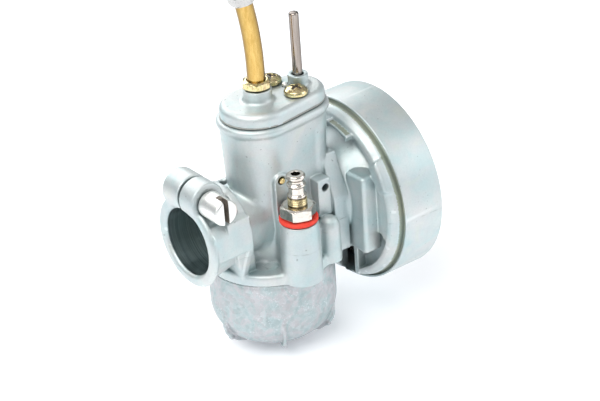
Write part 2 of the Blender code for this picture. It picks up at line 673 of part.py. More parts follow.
# ---- fuel inlet ----------------------------------------------------------------
def build_fuel_inlet():
    at = (INLET_X, INLET_Y, 0.0)
    washer_low = INLET_BOSS_TOP_Z + GAP
    washer_high = washer_low + 1.3
    piece("fuel_inlet_washer", "red_fibre", pipe(5.85, 3.2, washer_low, washer_high, 40), at)
    hex_low = washer_high + GAP
    hex_high = hex_low + 3.7
    hexagon = hexagon_nut(9.6, 0.0, hex_low, hex_high)
    fitting = piece("fuel_inlet_fitting", "nickel", hexagon, at, (0.0, 0.0, 0.12))
    join(fitting, "guide_fitting_thread", rod(2.6, 0.0, hex_low + 1.0, 24), at)
    cut(fitting, "cut_fitting_bore", rod(1.9 + GAP, -5.0, 20.0, 20), at)
    barb = [(1.1, 3.0), (1.9, 3.0), (1.9, hex_high + GAP), (2.5, hex_high + GAP), (2.5, 11.6),
            (2.95, 12.0), (2.95, 12.5), (2.45, 13.0), (2.5, 15.3), (2.95, 15.8), (2.55, 16.3),
            (2.2, 17.2), (2.95, 17.9), (2.95, 18.6), (2.5, 19.25), (1.1, 19.25)]
    piece("fuel_hose_nipple", "nickel", turned(barb, 24, loop=True), at)
    piece("fuel_strainer", "wire_mesh", pipe(1.5, 1.1, -12.8, -1.4, 16), at)


# ---- clamp hardware --------------------------------------------------------------
def build_clamp_hardware():
    head_start, head_end = 7.4, 16.2
    screw = turned([(0, -8.0), (2.2, -8.0), (2.5, -7.6), (2.5, head_start),
                    (CLAMP_HEAD_R, head_start), (CLAMP_HEAD_R, head_end - 0.8),
                    (CLAMP_HEAD_R - 0.8, head_end), (0, head_end)], 32)
    at = (BARREL_X, 0.0, BARREL_Z)
    made = piece("clamp_screw", "bright_zinc", screw, at, TOWARDS_MINUS_Y)
    slot = block((-0.6, -6.0, head_end - 1.8), (0.6, 6.0, head_end + 2.0))
    cut(made, "cut_clamp_slot", slot, at, TOWARDS_MINUS_Y)
    nut = hexagon_nut(7.6, 2.5 + GAP, 4.9, 8.1)
    piece("clamp_nut", "bright_zinc", nut, at, ALONG_Y)


# ---- throttle --------------------------------------------------------------------
def build_throttle():
    """Throttle slide with its needle; the slide's origin is on its own axis."""
    carrier = empty("throttle_carrier", (0.0, 0.0, 0.0), ASSEMBLY)
    floor_top = SLIDE_BOTTOM_Z + 3.2
    top = SLIDE_BOTTOM_Z + SLIDE_LENGTH
    cup = turned([(0, SLIDE_BOTTOM_Z), (SLIDE_R, SLIDE_BOTTOM_Z), (SLIDE_R, top), (7.6, top),
                  (7.6, floor_top), (0, floor_top)], 48)
    slide = piece("throttle_slide", "nickel", cup, parent=carrier)
    cut(slide, "cut_air_side", side_prism([(2.0, -12.0), (12.0, -12.0), (12.0, -4.6)], -12.0, 12.0))
    cut(slide, "cut_guide_slot", block((-2.0 - 1.2, -10.0, -12.0), (-2.0 + 1.2, -7.9, 20.0)))
    cut(slide, "cut_needle_hole", rod(1.2 + GAP, -12.0, 2.0, 16))
    cut(slide, "cut_cable_slot", rod(1.2, -12.0, 2.0, 12), (4.2, 0.0, 0.0))
    clip_z = floor_top + GAP
    needle = turned([(0, -26.0), (0.35, -25.6), (1.0, -13.0), (1.2, -10.0), (1.2, clip_z + 1.4),
                     (1.0, clip_z + 1.7), (0, clip_z + 1.7)], 16)
    piece("jet_needle", "brass", needle, parent=carrier)
    clip = pipe(3.2, 1.2 + GAP, clip_z, clip_z + 0.5, 20)
    made = piece("needle_clip", "spring_steel", clip, parent=carrier)
    cut(made, "cut_clip_mouth", block((-5.0, -0.8, clip_z - 1.0), (0.0, 0.8, clip_z + 2.0)))


def coil(radius, wire, low, high, turns, per_turn):
    points = []
    total = turns * per_turn
    for step in range(total + 1):
        angle = 2.0 * math.pi * step / per_turn
        height = low + (high - low) * step / total
        points.append((radius * math.cos(angle), radius * math.sin(angle), height))
    return swept(points, [wire] * len(points), steps=4)


def build_springs():
    throttle_low = SLIDE_BOTTOM_Z + 3.2 + 0.8
    throttle = coil(6.3, 0.45, throttle_low, COVER_TOP_Z - 2.5, 10, 12)
    piece("throttle_spring", "spring_steel", throttle, sharp=80)
    idle = coil(3.1, 0.4, 17.8, 23.0, 5, 10)
    piece("idle_spring", "spring_steel", idle, (IDLE_X, 0.0, IDLE_Z), ALONG_Y, sharp=80)


# ---- choke -----------------------------------------------------------------------
def build_choke():
    """Flat guillotine plate on a push rod; rest is open, rod pulled up."""
    carrier = empty("choke_carrier", (CHOKE_X, 0.0, 0.0), ASSEMBLY)
    half_t = CHOKE_PLATE_T / 2
    low, high = 9.2, 26.6
    bottom = arc((0.0, low + CHOKE_PLATE_HALF), CHOKE_PLATE_HALF, 180.0, 360.0, 16)
    plate = front_prism(bottom + [(CHOKE_PLATE_HALF, high), (-CHOKE_PLATE_HALF, high)], -half_t, half_t)
    piece("choke_plate", "brass", plate, parent=carrier)
    piece("choke_rod", "steel", rod(CHOKE_ROD_R, high + GAP, 59.3, 20, 0.35), parent=carrier)


# ---- idle screw and guide pin ------------------------------------------------------
def build_adjusters():
    head_low = 23.6
    screw = turned([(0, 9.5), (1.2, 9.5), (IDLE_R, 10.6), (IDLE_R, head_low), (3.7, head_low),
                    (3.7, head_low + 2.6), (3.2, head_low + 3.1), (0, head_low + 3.1)], 28)
    made = piece("idle_screw", "brass", screw, (IDLE_X, 0.0, IDLE_Z), ALONG_Y)
    slot = block((-5.0, -0.5, head_low + 1.6), (5.0, 0.5, head_low + 5.0))
    cut(made, "cut_idle_slot", slot, (IDLE_X, 0.0, IDLE_Z), ALONG_Y)
    pin = rod(0.9, 8.3, 12.1, 16, 0.2)
    piece("slide_guide_pin", "brass", pin, (-2.0, 0.0, 14.5), TOWARDS_MINUS_Y)


# ---- float chamber -----------------------------------------------------------------
def bowl_profile(shrink, bottom_z, recess):
    outer_r = FLANGE_R - shrink
    centre = (FLANGE_R - BOWL_ROUND_R, BOWL_SIDE_END_Z)
    rounding = arc(centre, BOWL_ROUND_R - shrink, 0.0, -90.0, 6)
    open_top = BOWL_TOP_Z + (5.0 if shrink else 0.0)
    points = [(0.0, open_top), (outer_r, open_top)] + rounding
    if recess:
        return points + [(6.2, bottom_z), (5.9, bottom_z + 1.0), (0.0, bottom_z + 1.0)]
    return points + [(0.0, bottom_z)]


def build_bowl():
    bowl = piece("float_bowl", "bowl_casting", turned(bowl_profile(0.0, BOWL_BOTTOM_Z, True), 40))
    fin = [(7.0, -38.0), (18.6, -29.0), (19.7, -30.2), (19.9, -33.5), (19.2, -36.0), (17.6, -38.3),
           (15.0, -40.3), (12.0, -41.4), (7.0, -41.4)]
    for k in range(6):
        rib = side_prism(fin, -0.5, 0.5)
        join(bowl, "guide_bowl_rib_%d" % k, rib, turn=(0.0, 0.0, math.radians(2.0 + 60.0 * k)))
    inside = turned(bowl_profile(BOWL_WALL, BOWL_BOTTOM_Z + BOWL_WALL, False), 32)
    cut(bowl, "cut_bowl_inside", inside)
    cut(bowl, "cut_bowl_bolt", rod(2.3 + GAP, -50.0, -30.0, 24))
    gasket_low, gasket_high = BOWL_TOP_Z + GAP, FLANGE_BOTTOM_Z - GAP
    ring = pipe(FLANGE_R - 0.1, FLANGE_R - BOWL_WALL, gasket_low, gasket_high, 40)
    piece("bowl_gasket", "gasket_paper", ring)
    washer = pipe(4.9, 2.3 + GAP, BOWL_BOTTOM_Z + 0.05, BOWL_BOTTOM_Z + 0.7, 28)
    piece("bowl_bolt_washer", "red_fibre", washer)
    head_top = BOWL_BOTTOM_Z - 0.25
    head = hexagon_nut(9.0, 0.0, -THROAT_HEIGHT, head_top)
    bolt = piece("bowl_bolt", "bright_zinc", head)
    join(bolt, "guide_bolt_shank", rod(2.3, head_top - 1.0, -32.6, 24))


def build_jets():
    needle_jet = pipe(JET_R, 1.2 + GAP + 0.1, -27.0, -9.0, 24)
    piece("needle_jet", "brass", needle_jet)
    jet = [(0.5, -31.8), (JET_R - 0.4, -31.8), (JET_R, -31.4), (JET_R, -27.3), (0.5, -27.3)]
    piece("main_jet", "brass", turned(jet, 24, loop=True))


def build_float():
    pin = rod(FLOAT_PIN_R, INLET_X - 6.2, INLET_X + 6.0, 16)
    piece("float_pin", "steel", pin, (0.0, FLOAT_PIN_Y, FLOAT_PIN_Z), ALONG_X)
    hinge = empty("float_hinge", (0.0, FLOAT_PIN_Y, FLOAT_PIN_Z), ASSEMBLY)
    up, back = -FLOAT_PIN_Z, -FLOAT_PIN_Y
    ring = pipe(15.0, 7.2, -31.5 + up, -24.5 + up, 40)
    bmesh.ops.translate(ring, verts=ring.verts, vec=(0.0, back, 0.0))
    float_body = piece("float", "float_plastic", ring, parent=hinge)
    arm = [("arm", 2.8, (0.2, -3.4), (8.6, -2.1)), ("link", 2.7, (2.6, -5.4), (6.4, -2.4)),
           ("foot", 3.1, (-1.1, -3.2), (1.4, -0.6))]
    for name, half, low, high in arm:
        solid = block((INLET_X - half, low[0], low[1]), (INLET_X + half, high[0], high[1]))
        join(float_body, "guide_float_" + name, solid)
    join(float_body, "guide_float_barrel", rod(1.7, INLET_X - 3.4, INLET_X + 3.4, 20), turn=ALONG_X)
    cut(float_body, "cut_float_barrel", rod(FLOAT_PIN_R + GAP, -20.0, 20.0, 20), turn=ALONG_X)
    seat = [(1.0, -11.5), (1.0, -14.0), (1.3 + GAP, -14.6), (1.3 + GAP, -18.5), (2.3, -18.5), (2.3, -11.5)]
    piece("needle_seat", "brass", turned(seat, 20, loop=True), (INLET_X, SEAT_Y, 0.0))
    needle_low = FLOAT_PIN_Z - 2.1 + GAP
    needle = [(0, needle_low), (1.3, needle_low), (1.3, -15.6), (0.3, -14.3), (0, -14.3)]
    piece("float_needle", "brass", turned(needle, 20), (INLET_X, SEAT_Y, 0.0))


# ---- air filter --------------------------------------------------------------------
def build_filter():
    at = (0.0, 0.0, -DRUM_DROP)
    inner = DRUM_R - DRUM_WALL - GAP
    piece("filter_mesh", "wire_mesh", rod(inner, 34.5, 40.5, 48), at, ALONG_X)
    wire = ring_points(0.6, 6, (inner - 0.9, 41.5))
    piece("filter_retaining_ring", "spring_steel", turned(wire, 40, loop=True), at, ALONG_X)


clear_scene()
ASSEMBLY = empty("assembly", (0.0, 0.0, THROAT_HEIGHT * MM))
ASSEMBLY.scale = (MM, MM, MM)
build_body()
build_cover()
build_cover_gasket()
build_cover_fasteners()
build_cable_elbow()
build_fuel_inlet()
build_clamp_hardware()
build_throttle()
build_springs()
build_choke()
build_adjusters()
build_bowl()
build_jets()
build_float()
build_filter()
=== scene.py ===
import json
import math

import bmesh
import bpy
import numpy as np
from mathutils import Matrix, Vector


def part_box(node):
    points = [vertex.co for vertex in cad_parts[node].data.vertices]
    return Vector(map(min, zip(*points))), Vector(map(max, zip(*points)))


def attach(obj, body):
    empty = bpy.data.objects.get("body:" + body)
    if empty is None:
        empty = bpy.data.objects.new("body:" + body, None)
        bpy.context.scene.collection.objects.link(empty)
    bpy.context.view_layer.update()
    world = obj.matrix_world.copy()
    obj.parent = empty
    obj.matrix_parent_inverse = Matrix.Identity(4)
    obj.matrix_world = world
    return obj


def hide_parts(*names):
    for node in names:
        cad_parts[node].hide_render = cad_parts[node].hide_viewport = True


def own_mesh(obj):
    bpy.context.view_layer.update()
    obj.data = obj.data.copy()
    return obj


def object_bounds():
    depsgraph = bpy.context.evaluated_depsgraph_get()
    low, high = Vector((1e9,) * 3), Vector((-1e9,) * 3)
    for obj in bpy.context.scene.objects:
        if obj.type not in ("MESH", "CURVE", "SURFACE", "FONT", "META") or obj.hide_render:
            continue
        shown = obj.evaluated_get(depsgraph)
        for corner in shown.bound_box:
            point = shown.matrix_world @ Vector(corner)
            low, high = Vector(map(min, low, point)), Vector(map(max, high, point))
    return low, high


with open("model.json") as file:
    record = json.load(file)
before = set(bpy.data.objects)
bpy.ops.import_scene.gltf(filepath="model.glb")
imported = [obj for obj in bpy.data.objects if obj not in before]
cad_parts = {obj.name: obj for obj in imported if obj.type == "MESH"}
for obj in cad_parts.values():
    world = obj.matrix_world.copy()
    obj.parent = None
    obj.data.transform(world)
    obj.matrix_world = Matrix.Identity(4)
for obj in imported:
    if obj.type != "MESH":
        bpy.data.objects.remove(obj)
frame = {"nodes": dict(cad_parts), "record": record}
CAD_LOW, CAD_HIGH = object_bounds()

MM = 0.001
OUTSIDE = 6.0


def middle(node):
    low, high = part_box(node)
    return (low + high) / 2


# ---- where things are, from the CAD frame ---------------------------------------
DRUM_DROP = 4.0
THROAT = Vector((0.0, 0.0, middle("filter_mesh").z + DRUM_DROP * MM))


def local_box(node):
    """A CAD node's corners in millimetres from the throat point."""
    low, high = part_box(node)
    return (low - THROAT) / MM, (high - THROAT) / MM


# ---- distance fields --------------------------------------------------------------
def smooth_min(a, b, k):
    if k <= 0:
        return np.minimum(a, b)
    h = np.clip(0.5 + 0.5 * (b - a) / k, 0.0, 1.0)
    return b + (a - b) * h - k * h * (1.0 - h)


def smooth_max(a, b, k):
    return -smooth_min(-a, -b, k)


def walls(distances, rounding):
    """Distance to the common inside of several slabs or walls, with rounded corners."""
    inside = distances[0]
    for d in distances[1:]:
        inside = np.maximum(inside, d)
    outside = sum(np.maximum(d + rounding, 0.0) ** 2 for d in distances)
    return np.minimum(inside + rounding, 0.0) + np.sqrt(outside) - rounding


def box(low, high, rounding=0.3):
    def shape(x, y, z):
        spans = []
        for value, a, b in zip((x, y, z), low, high):
            spans.append(np.abs(value - (a + b) / 2) - (b - a) / 2)
        return walls(spans, rounding)
    return shape, low, high


def reordered(axis):
    """Index of the axis, and of the two others."""
    along = "xyz".index(axis)
    others = [k for k in range(3) if k != along]
    return along, others[0], others[1]


def extents(axis, centre, reach, low, high):
    along, first, second = reordered(axis)
    a, b = [0.0] * 3, [0.0] * 3
    a[along], b[along] = low, high
    a[first], b[first] = centre[0] - reach, centre[0] + reach
    a[second], b[second] = centre[1] - reach, centre[1] + reach
    return a, b


def convex(planes, low, high, rounding=0.3):
    """Space under every plane; a plane is a normal and its distance from the origin."""
    def shape(x, y, z):
        distances = []
        for (a, b, c), offset in planes:
            size = math.sqrt(a * a + b * b + c * c)
            distances.append((a * x + b * y + c * z - offset) / size)
        return walls(distances, rounding)
    return shape, low, high


def cylinder(axis, centre, radius, low, high, rounding=0.3):
    along, first, second = reordered(axis)

    def shape(*xyz):
        radial = np.hypot(xyz[first] - centre[0], xyz[second] - centre[1]) - radius
        span = np.abs(xyz[along] - (low + high) / 2) - (high - low) / 2
        return walls([radial, span], rounding)
    return (shape,) + extents(axis, centre, radius, low, high)


def arc(centre, radius, start, stop, steps):
    points = []
    for step in range(steps + 1):
        angle = math.radians(start + (stop - start) * step / steps)
        points.append((centre[0] + radius * math.cos(angle), centre[1] + radius * math.sin(angle)))
    return points


def polygon(points, a, b):
    """Signed distance to a closed outline, negative inside."""
    count = len(points)
    nearest = None
    inside = None
    for k in range(count):
        (ax, ay), (bx, by) = points[k - 1], points[k]
        ex, ey = bx - ax, by - ay
        if ex * ex + ey * ey < 1e-12:
            continue
        px, py = a - ax, b - ay
        t = np.clip((px * ex + py * ey) / (ex * ex + ey * ey), 0.0, 1.0)
        d = (px - ex * t) ** 2 + (py - ey * t) ** 2
        nearest = d if nearest is None else np.minimum(nearest, d)
        above = (ay > b) != (by > b)
        if ay != by:
            crossing = above & (a < (bx - ax) * (b - ay) / (by - ay) + ax)
            inside = crossing if inside is None else inside ^ crossing
    return np.where(inside, -1.0, 1.0) * np.sqrt(nearest)


def ring(axis, centre, profile):
    """Ring turned about an axis from a closed (radius, height) outline."""
    along, first, second = reordered(axis)

    def shape(*xyz):
        radial = np.hypot(xyz[first] - centre[0], xyz[second] - centre[1])
        return polygon(profile, radial, xyz[along] + 0.0 * radial)
    far = max(r for r, _ in profile)
    heights = [h for _, h in profile]
    return (shape,) + extents(axis, centre, far, min(heights), max(heights))


def lathe(axis, centre, profile):
    """Solid turned about an axis; profile holds (radius, height) and closes on the axis."""
    return ring(axis, centre, profile + [(-r, h) for r, h in reversed(profile)])


def extruded(axis, outline, low, high, rounding=0.3):
    """Outline in the two other axes, in x, y, z order, carried along one axis."""
    along, first, second = reordered(axis)
    a, b = [0.0] * 3, [0.0] * 3
    a[along], b[along] = low, high
    for k, index in ((0, first), (1, second)):
        a[index] = min(p[k] for p in outline)
        b[index] = max(p[k] for p in outline)

    def shape(*xyz):
        flat = polygon(outline, xyz[first], xyz[second])
        span = np.abs(xyz[along] - (low + high) / 2) - (high - low) / 2
        return walls([flat, span], rounding)
    return shape, a, b


def oval_distance(x, y, ends):
    """Distance to the outline around two circles on the x axis."""
    (big_x, big_r), (small_x, small_r) = ends
    reach = small_x - big_x
    b = (big_r - small_r) / reach
    a = np.sqrt(1.0 - b * b)
    side, along = np.abs(y), x - big_x
    k = -b * side + a * along
    first = np.hypot(side, along) - big_r
    last = np.hypot(side, along - reach) - small_r
    return np.where(k < 0, first, np.where(k > a * reach, last, a * side + b * along - big_r))


def oval_post(foot, head, low, high, rounding=0.3):
    """Upright oval post; foot and head are the ovals at its low and high ends."""
    def shape(x, y, z):
        t = np.clip((z - low) / (high - low), 0.0, 1.0)
        ends = [(f[0] + (h[0] - f[0]) * t, f[1] + (h[1] - f[1]) * t) for f, h in zip(foot, head)]
        span = np.abs(z - (low + high) / 2) - (high - low) / 2
        return walls([oval_distance(x, y, ends), span], rounding)
    reach = max(foot[0][1], head[0][1])
    small = max(foot[1][1], head[1][1])
    left = min(foot[0][0], head[0][0]) - reach
    right = max(foot[1][0], head[1][0]) + small
    return shape, (left, -reach, low), (right, reach, high)


def flare(stations):
    """Funnel along x through (x, radius, centre z) stations."""
    xs = np.array([s[0] for s in stations], float)
    radii = np.array([s[1] for s in stations], float)
    centres = np.array([s[2] for s in stations], float)
    fine = np.linspace(xs[0], xs[-1], 60)
    smooth_r = np.interp(fine, xs, radii)
    smooth_c = np.interp(fine, xs, centres)
    for _ in range(40):
        smooth_r[1:-1] = (smooth_r[:-2] + 2 * smooth_r[1:-1] + smooth_r[2:]) / 4
        smooth_c[1:-1] = (smooth_c[:-2] + 2 * smooth_c[1:-1] + smooth_c[2:]) / 4

    def shape(x, y, z):
        r = np.interp(x.ravel(), fine, smooth_r).reshape(x.shape)
        c = np.interp(x.ravel(), fine, smooth_c).reshape(x.shape)
        slope = np.interp(x.ravel(), fine, np.gradient(smooth_r, fine)).reshape(x.shape)
        radial = (np.hypot(y, z - c) - r) / np.sqrt(1.0 + slope * slope)
        span = np.abs(x - (xs[0] + xs[-1]) / 2) - (xs[-1] - xs[0]) / 2
        return np.maximum(radial, span)
    far = radii.max() + abs(centres).max()
    return shape, (xs[0], -far, -far), (xs[-1], far, far)


def hexagon(axis, centre, across_flats, low, high, turn=0.0, chamfer=0.5):
    """Hexagon bar whose corners are turned off at both ends."""
    along, first, second = reordered(axis)
    corner = across_flats / math.sqrt(3.0)

    def shape(*xyz):
        a, b = xyz[first] - centre[0], xyz[second] - centre[1]
        flats = None
        for k in range(3):
            angle = turn + math.pi / 3 * k
            d = np.abs(a * math.cos(angle) + b * math.sin(angle)) - across_flats / 2
            flats = d if flats is None else np.maximum(flats, d)
        span = np.abs(xyz[along] - (low + high) / 2) - (high - low) / 2
        cone = (np.hypot(a, b) - corner + chamfer + 1.8 * span + 1.4 * chamfer) / 2.06
        return np.maximum(walls([flats, span], 0.1), cone)
    return (shape,) + extents(axis, centre, corner, low, high)


def thread(axis, centre, radius, low, high, pitch, depth):
    """Screw thread: a bar whose radius rises and falls along a helix."""
    along, first, second = reordered(axis)

    def shape(*xyz):
        a, b = xyz[first] - centre[0], xyz[second] - centre[1]
        phase = xyz[along] / pitch - np.arctan2(b, a) / (2 * math.pi)
        wave = np.abs((phase % 1.0) - 0.5) * 2.0
        radial = (np.hypot(a, b) - radius + depth * (1.0 - wave)) * 0.75
        span = np.abs(xyz[along] - (low + high) / 2) - (high - low) / 2
        return np.maximum(radial, span)
    return (shape,) + extents(axis, centre, radius, low, high)


class Casting:
    """A block of space, sampled on a grid, that solids are added to and cut from.

    A solid is a distance function with the low and high corners of the space it fills.
    """

    def __init__(self, low, high, step):
        self.step = step
        self.low = np.array(low, float) - 1.5 * step
        count = np.ceil((np.array(high) + 1.5 * step - self.low) / step).astype(int) + 1
        self.axes = [self.low[k] + step * np.arange(count[k]) for k in range(3)]
        self.value = np.full(count, OUTSIDE, np.float32)

    def window(self, low, high, margin):
        slices = []
        for k in range(3):
            a = int(np.searchsorted(self.axes[k], low[k] - margin))
            b = int(np.searchsorted(self.axes[k], high[k] + margin))
            slices.append(slice(a, b))
        x = self.axes[0][slices[0]].astype(np.float32)[:, None, None]
        y = self.axes[1][slices[1]].astype(np.float32)[None, :, None]
        z = self.axes[2][slices[2]].astype(np.float32)[None, None, :]
        return tuple(slices), (x, y, z)

    def add(self, solid, blend=0.0):
        shape, low, high = solid
        where, xyz = self.window(low, high, blend + 3 * self.step)
        if self.value[where].size:
            self.value[where] = smooth_min(self.value[where], shape(*xyz), blend)

    def cut(self, solid, blend=0.0):
        shape, low, high = solid
        where, xyz = self.window(low, high, blend + 3 * self.step)
        if self.value[where].size:
            self.value[where] = smooth_max(self.value[where], -shape(*xyz), blend)

    def net(self):
        """Vertices and quads where the field changes sign: one vertex in each crossed cell."""
        v = self.value
        solid = v < 0
        total = np.zeros(np.array(v.shape) - 1, np.int8)
        for i in (0, 1):
            for j in (0, 1):
                for k in (0, 1):
                    total += solid[i:i + total.shape[0], j:j + total.shape[1], k:k + total.shape[2]]
        active = (total > 0) & (total < 8)
        index = np.full(total.shape, -1, np.int64)
        index[active] = np.arange(int(active.sum()))
        cells = np.argwhere(active)
        places = np.zeros((len(cells), 3))
        hits = np.zeros(len(cells))
        for axis in range(3):
            one = np.zeros(3, int)
            one[axis] = 1
            others = [k for k in range(3) if k != axis]
            for i in (0, 1):
                for j in (0, 1):
                    off = np.zeros(3, int)
                    off[others[0]], off[others[1]] = i, j
                    start = cells + off
                    stop = start + one
                    v0 = v[start[:, 0], start[:, 1], start[:, 2]].astype(float)
                    v1 = v[stop[:, 0], stop[:, 1], stop[:, 2]].astype(float)
                    crossed = (v0 < 0) != (v1 < 0)
                    t = np.where(crossed, v0 / np.where(crossed, v0 - v1, 1.0), 0.0)
                    point = start + np.outer(t, one)
                    places += point * crossed[:, None]
                    hits += crossed
        places = places / hits[:, None]
        faces = []
        for axis in range(3):
            b, c = [(1, 2), (2, 0), (0, 1)][axis]
            ahead = [slice(None)] * 3
            ahead[axis] = slice(1, None)
            behind = [slice(None)] * 3
            behind[axis] = slice(None, -1)
            first, second = solid[tuple(behind)], solid[tuple(ahead)]
            at = np.argwhere(first != second)
            keep = (at[:, b] > 0) & (at[:, c] > 0)
            keep &= (at[:, b] < total.shape[b]) & (at[:, c] < total.shape[c])
            at = at[keep]
            leaving = first[at[:, 0], at[:, 1], at[:, 2]]
            corners = []
            for db, dc in ((0, 0), (1, 0), (1, 1), (0, 1)):
                cell = at.copy()
                cell[:, b] -= db
                cell[:, c] -= dc
                corners.append(index[cell[:, 0], cell[:, 1], cell[:, 2]])
            quads = np.stack(corners, axis=1)
            quads[~leaving] = quads[~leaving][:, ::-1]
            faces.append(quads)
        return places * self.step + self.low, np.concatenate(faces)

    def slope(self, points):
        """Outward unit normals of the field at the points."""
        grid = (points - self.low) / self.step
        out = np.zeros_like(points)
        for axis in range(3):
            ends = []
            for sign in (1.0, -1.0):
                moved = grid.copy()
                moved[:, axis] += sign * 0.75
                ends.append(self.sample(moved))
            out[:, axis] = ends[0] - ends[1]
        length = np.linalg.norm(out, axis=1)
        return out / np.maximum(length, 1e-9)[:, None]

    def sample(self, grid):
        top = np.array(self.value.shape) - 1.001
        grid = np.clip(grid, 0, top)
        base = grid.astype(int)
        part = grid - base
        result = np.zeros(len(grid))
        for i in (0, 1):
            for j in (0, 1):
                for k in (0, 1):
                    share = np.ones(len(grid))
                    for axis, bit in enumerate((i, j, k)):
                        share *= part[:, axis] if bit else 1.0 - part[:, axis]
                    corner = self.value[base[:, 0] + i, base[:, 1] + j, base[:, 2] + k]
                    result += share * np.clip(corner, -2.0, 2.0)
        return result


# ---- objects ----------------------------------------------------------------------
def new_object(name, mesh):
    made = bpy.data.objects.new(name, mesh)
    bpy.context.scene.collection.objects.link(made)
    return made


def keep_piece(made, looks, body, replaced):
    """A piece rides a body, takes the given looks as its materials, and hides the CAD node that it replaces.
    """
    for look in looks if isinstance(looks, tuple) else (looks,):
        made.data.materials.append(look)
    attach(made, body)
    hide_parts(replaced)
    return made


def paint(made, index, chosen):
    """Give the faces whose centre, in millimetres from the throat point, is chosen another look."""
    for face in made.data.polygons:
        if chosen((face.center - THROAT) / MM, face.normal):
            face.material_index = index


def field_mesh(name, casting, faces_kept):
    """Mesh of a field, thinned where it is flat, with normals read from the field."""
    places, quads = casting.net()
    mesh = bpy.data.meshes.new(name)
    mesh.from_pydata((places * MM + np.array(THROAT)).tolist(), [], quads.tolist())
    if 2 * len(quads) > faces_kept:
        draft = new_object(name + "_draft", mesh)
        thin = draft.modifiers.new("thin", "DECIMATE")
        thin.ratio = faces_kept / (2.0 * len(quads))
        thin.use_collapse_triangulate = True
        depsgraph = bpy.context.evaluated_depsgraph_get()
        thinned = bpy.data.meshes.new_from_object(draft.evaluated_get(depsgraph))
        bpy.data.objects.remove(draft)
        mesh = thinned
        mesh.name = name
    points = np.zeros(len(mesh.vertices) * 3)
    mesh.vertices.foreach_get("co", points)
    points = (points.reshape(-1, 3) - np.array(THROAT)) / MM
    mesh.shade_smooth()
    mesh.normals_split_custom_set_from_vertices(casting.slope(points).tolist())
    return mesh


def field_piece(name, casting, looks, body, replaced, faces_kept):
    made = new_object(name, field_mesh(name, casting, faces_kept))
    return keep_piece(made, looks, body, replaced)


def rounded_corners(profile, radius, steps=3):
    """Profile with each inner corner replaced by a short arc."""
    points = [Vector((a, b)) for a, b in profile]
    out = [points[0]]
    for before, here, after in zip(points, points[1:], points[2:]):
        back, ahead = before - here, after - here
        reach = min(radius, back.length * 0.45, ahead.length * 0.45)
        start, stop = here + back.normalized() * reach, here + ahead.normalized() * reach
        for k in range(steps + 1):
            t = k / steps
            out.append(start.lerp(here, t).lerp(here.lerp(stop, t), t))
    out.append(points[-1])
    return [(p.x, p.y) for p in out]


def turned_mesh(name, profile, steps=72, loop=False, place=None):
    """Mesh turned about local z from (radius, height) points, in millimetres."""
    bm = bmesh.new()
    rings = []
    for radius, height in profile:
        count = steps if radius > 1e-6 else 1
        rings.append([bm.verts.new((radius * math.cos(2 * math.pi * k / steps),
                                    radius * math.sin(2 * math.pi * k / steps), height))
                      for k in range(count)])
    pairs = list(zip(rings, rings[1:]))
    if loop:
        pairs.append((rings[-1], rings[0]))
    for first, second in pairs:
        for k in range(steps):
            after = (k + 1) % steps
            if len(first) == 1 and len(second) == 1:
                continue
            if len(first) == 1:
                bm.faces.new((first[0], second[k], second[after]))
            elif len(second) == 1:
                bm.faces.new((first[k], first[after], second[0]))
            else:
                bm.faces.new((first[k], first[after], second[after], second[k]))
    bmesh.ops.recalc_face_normals(bm, faces=bm.faces)
    return finish_mesh(name, bm, place)


def finish_mesh(name, bm, place=None):
    """Millimetre mesh, put in place, then turned into metres in the CAD frame."""
    move = Matrix.Translation(THROAT) @ Matrix.Scale(MM, 4)
    bmesh.ops.transform(bm, matrix=move @ (place or Matrix.Identity(4)), verts=bm.verts)
    mesh = bpy.data.meshes.new(name)
    bm.to_mesh(mesh)
    bm.free()
    mesh.shade_smooth()
    mesh.set_sharp_from_angle(angle=math.radians(38.0))
    return mesh


def turned_piece(name, profile, looks, body, replaced, place=None, loop=False, steps=72):
    made = new_object(name, turned_mesh(name, profile, steps, loop, place))
    return keep_piece(made, looks, body, replaced)


def swept_mesh(name, path, radius, bore=None, steps=24):
    points = [Vector(p) for p in path]
    bm = bmesh.new()
    side = Vector((0.0, 1.0, 0.0))
    outer, inner = [], []
    for index, point in enumerate(points):
        ahead = (points[min(index + 1, len(points) - 1)] - points[max(index - 1, 0)]).normalized()
        side = (side - ahead * side.dot(ahead)).normalized()
        across = ahead.cross(side)
        for reach, rings in ((radius, outer), (bore, inner)):
            if reach is None:
                continue
            rings.append([bm.verts.new(point + (side * math.cos(2 * math.pi * k / steps)
                                                + across * math.sin(2 * math.pi * k / steps)) * reach)
                          for k in range(steps)])
    pairs = list(zip(outer, outer[1:])) + list(zip(inner, inner[1:]))
    if inner:
        pairs += [(outer[0], inner[0]), (outer[-1], inner[-1])]
    else:
        bm.faces.new(outer[0])
        bm.faces.new(outer[-1])
    for first, second in pairs:
        for k in range(steps):
            after = (k + 1) % steps
            bm.faces.new((first[k], first[after], second[after], second[k]))
    bmesh.ops.recalc_face_normals(bm, faces=bm.faces)
    return finish_mesh(name, bm)


def upright(x, y, z=0.0):
    return Matrix.Translation((x, y, z))


def across_y(x, z, sign=1.0):
    """Local z along +y (sign 1) or -y (sign -1)."""
    turn = Matrix.Rotation(-math.pi / 2 * sign, 4, "X")
    return Matrix.Translation((x, 0.0, z)) @ turn


def along_x(z=0.0):
    return Matrix.Translation((0.0, 0.0, z)) @ Matrix.Rotation(math.pi / 2, 4, "Y")


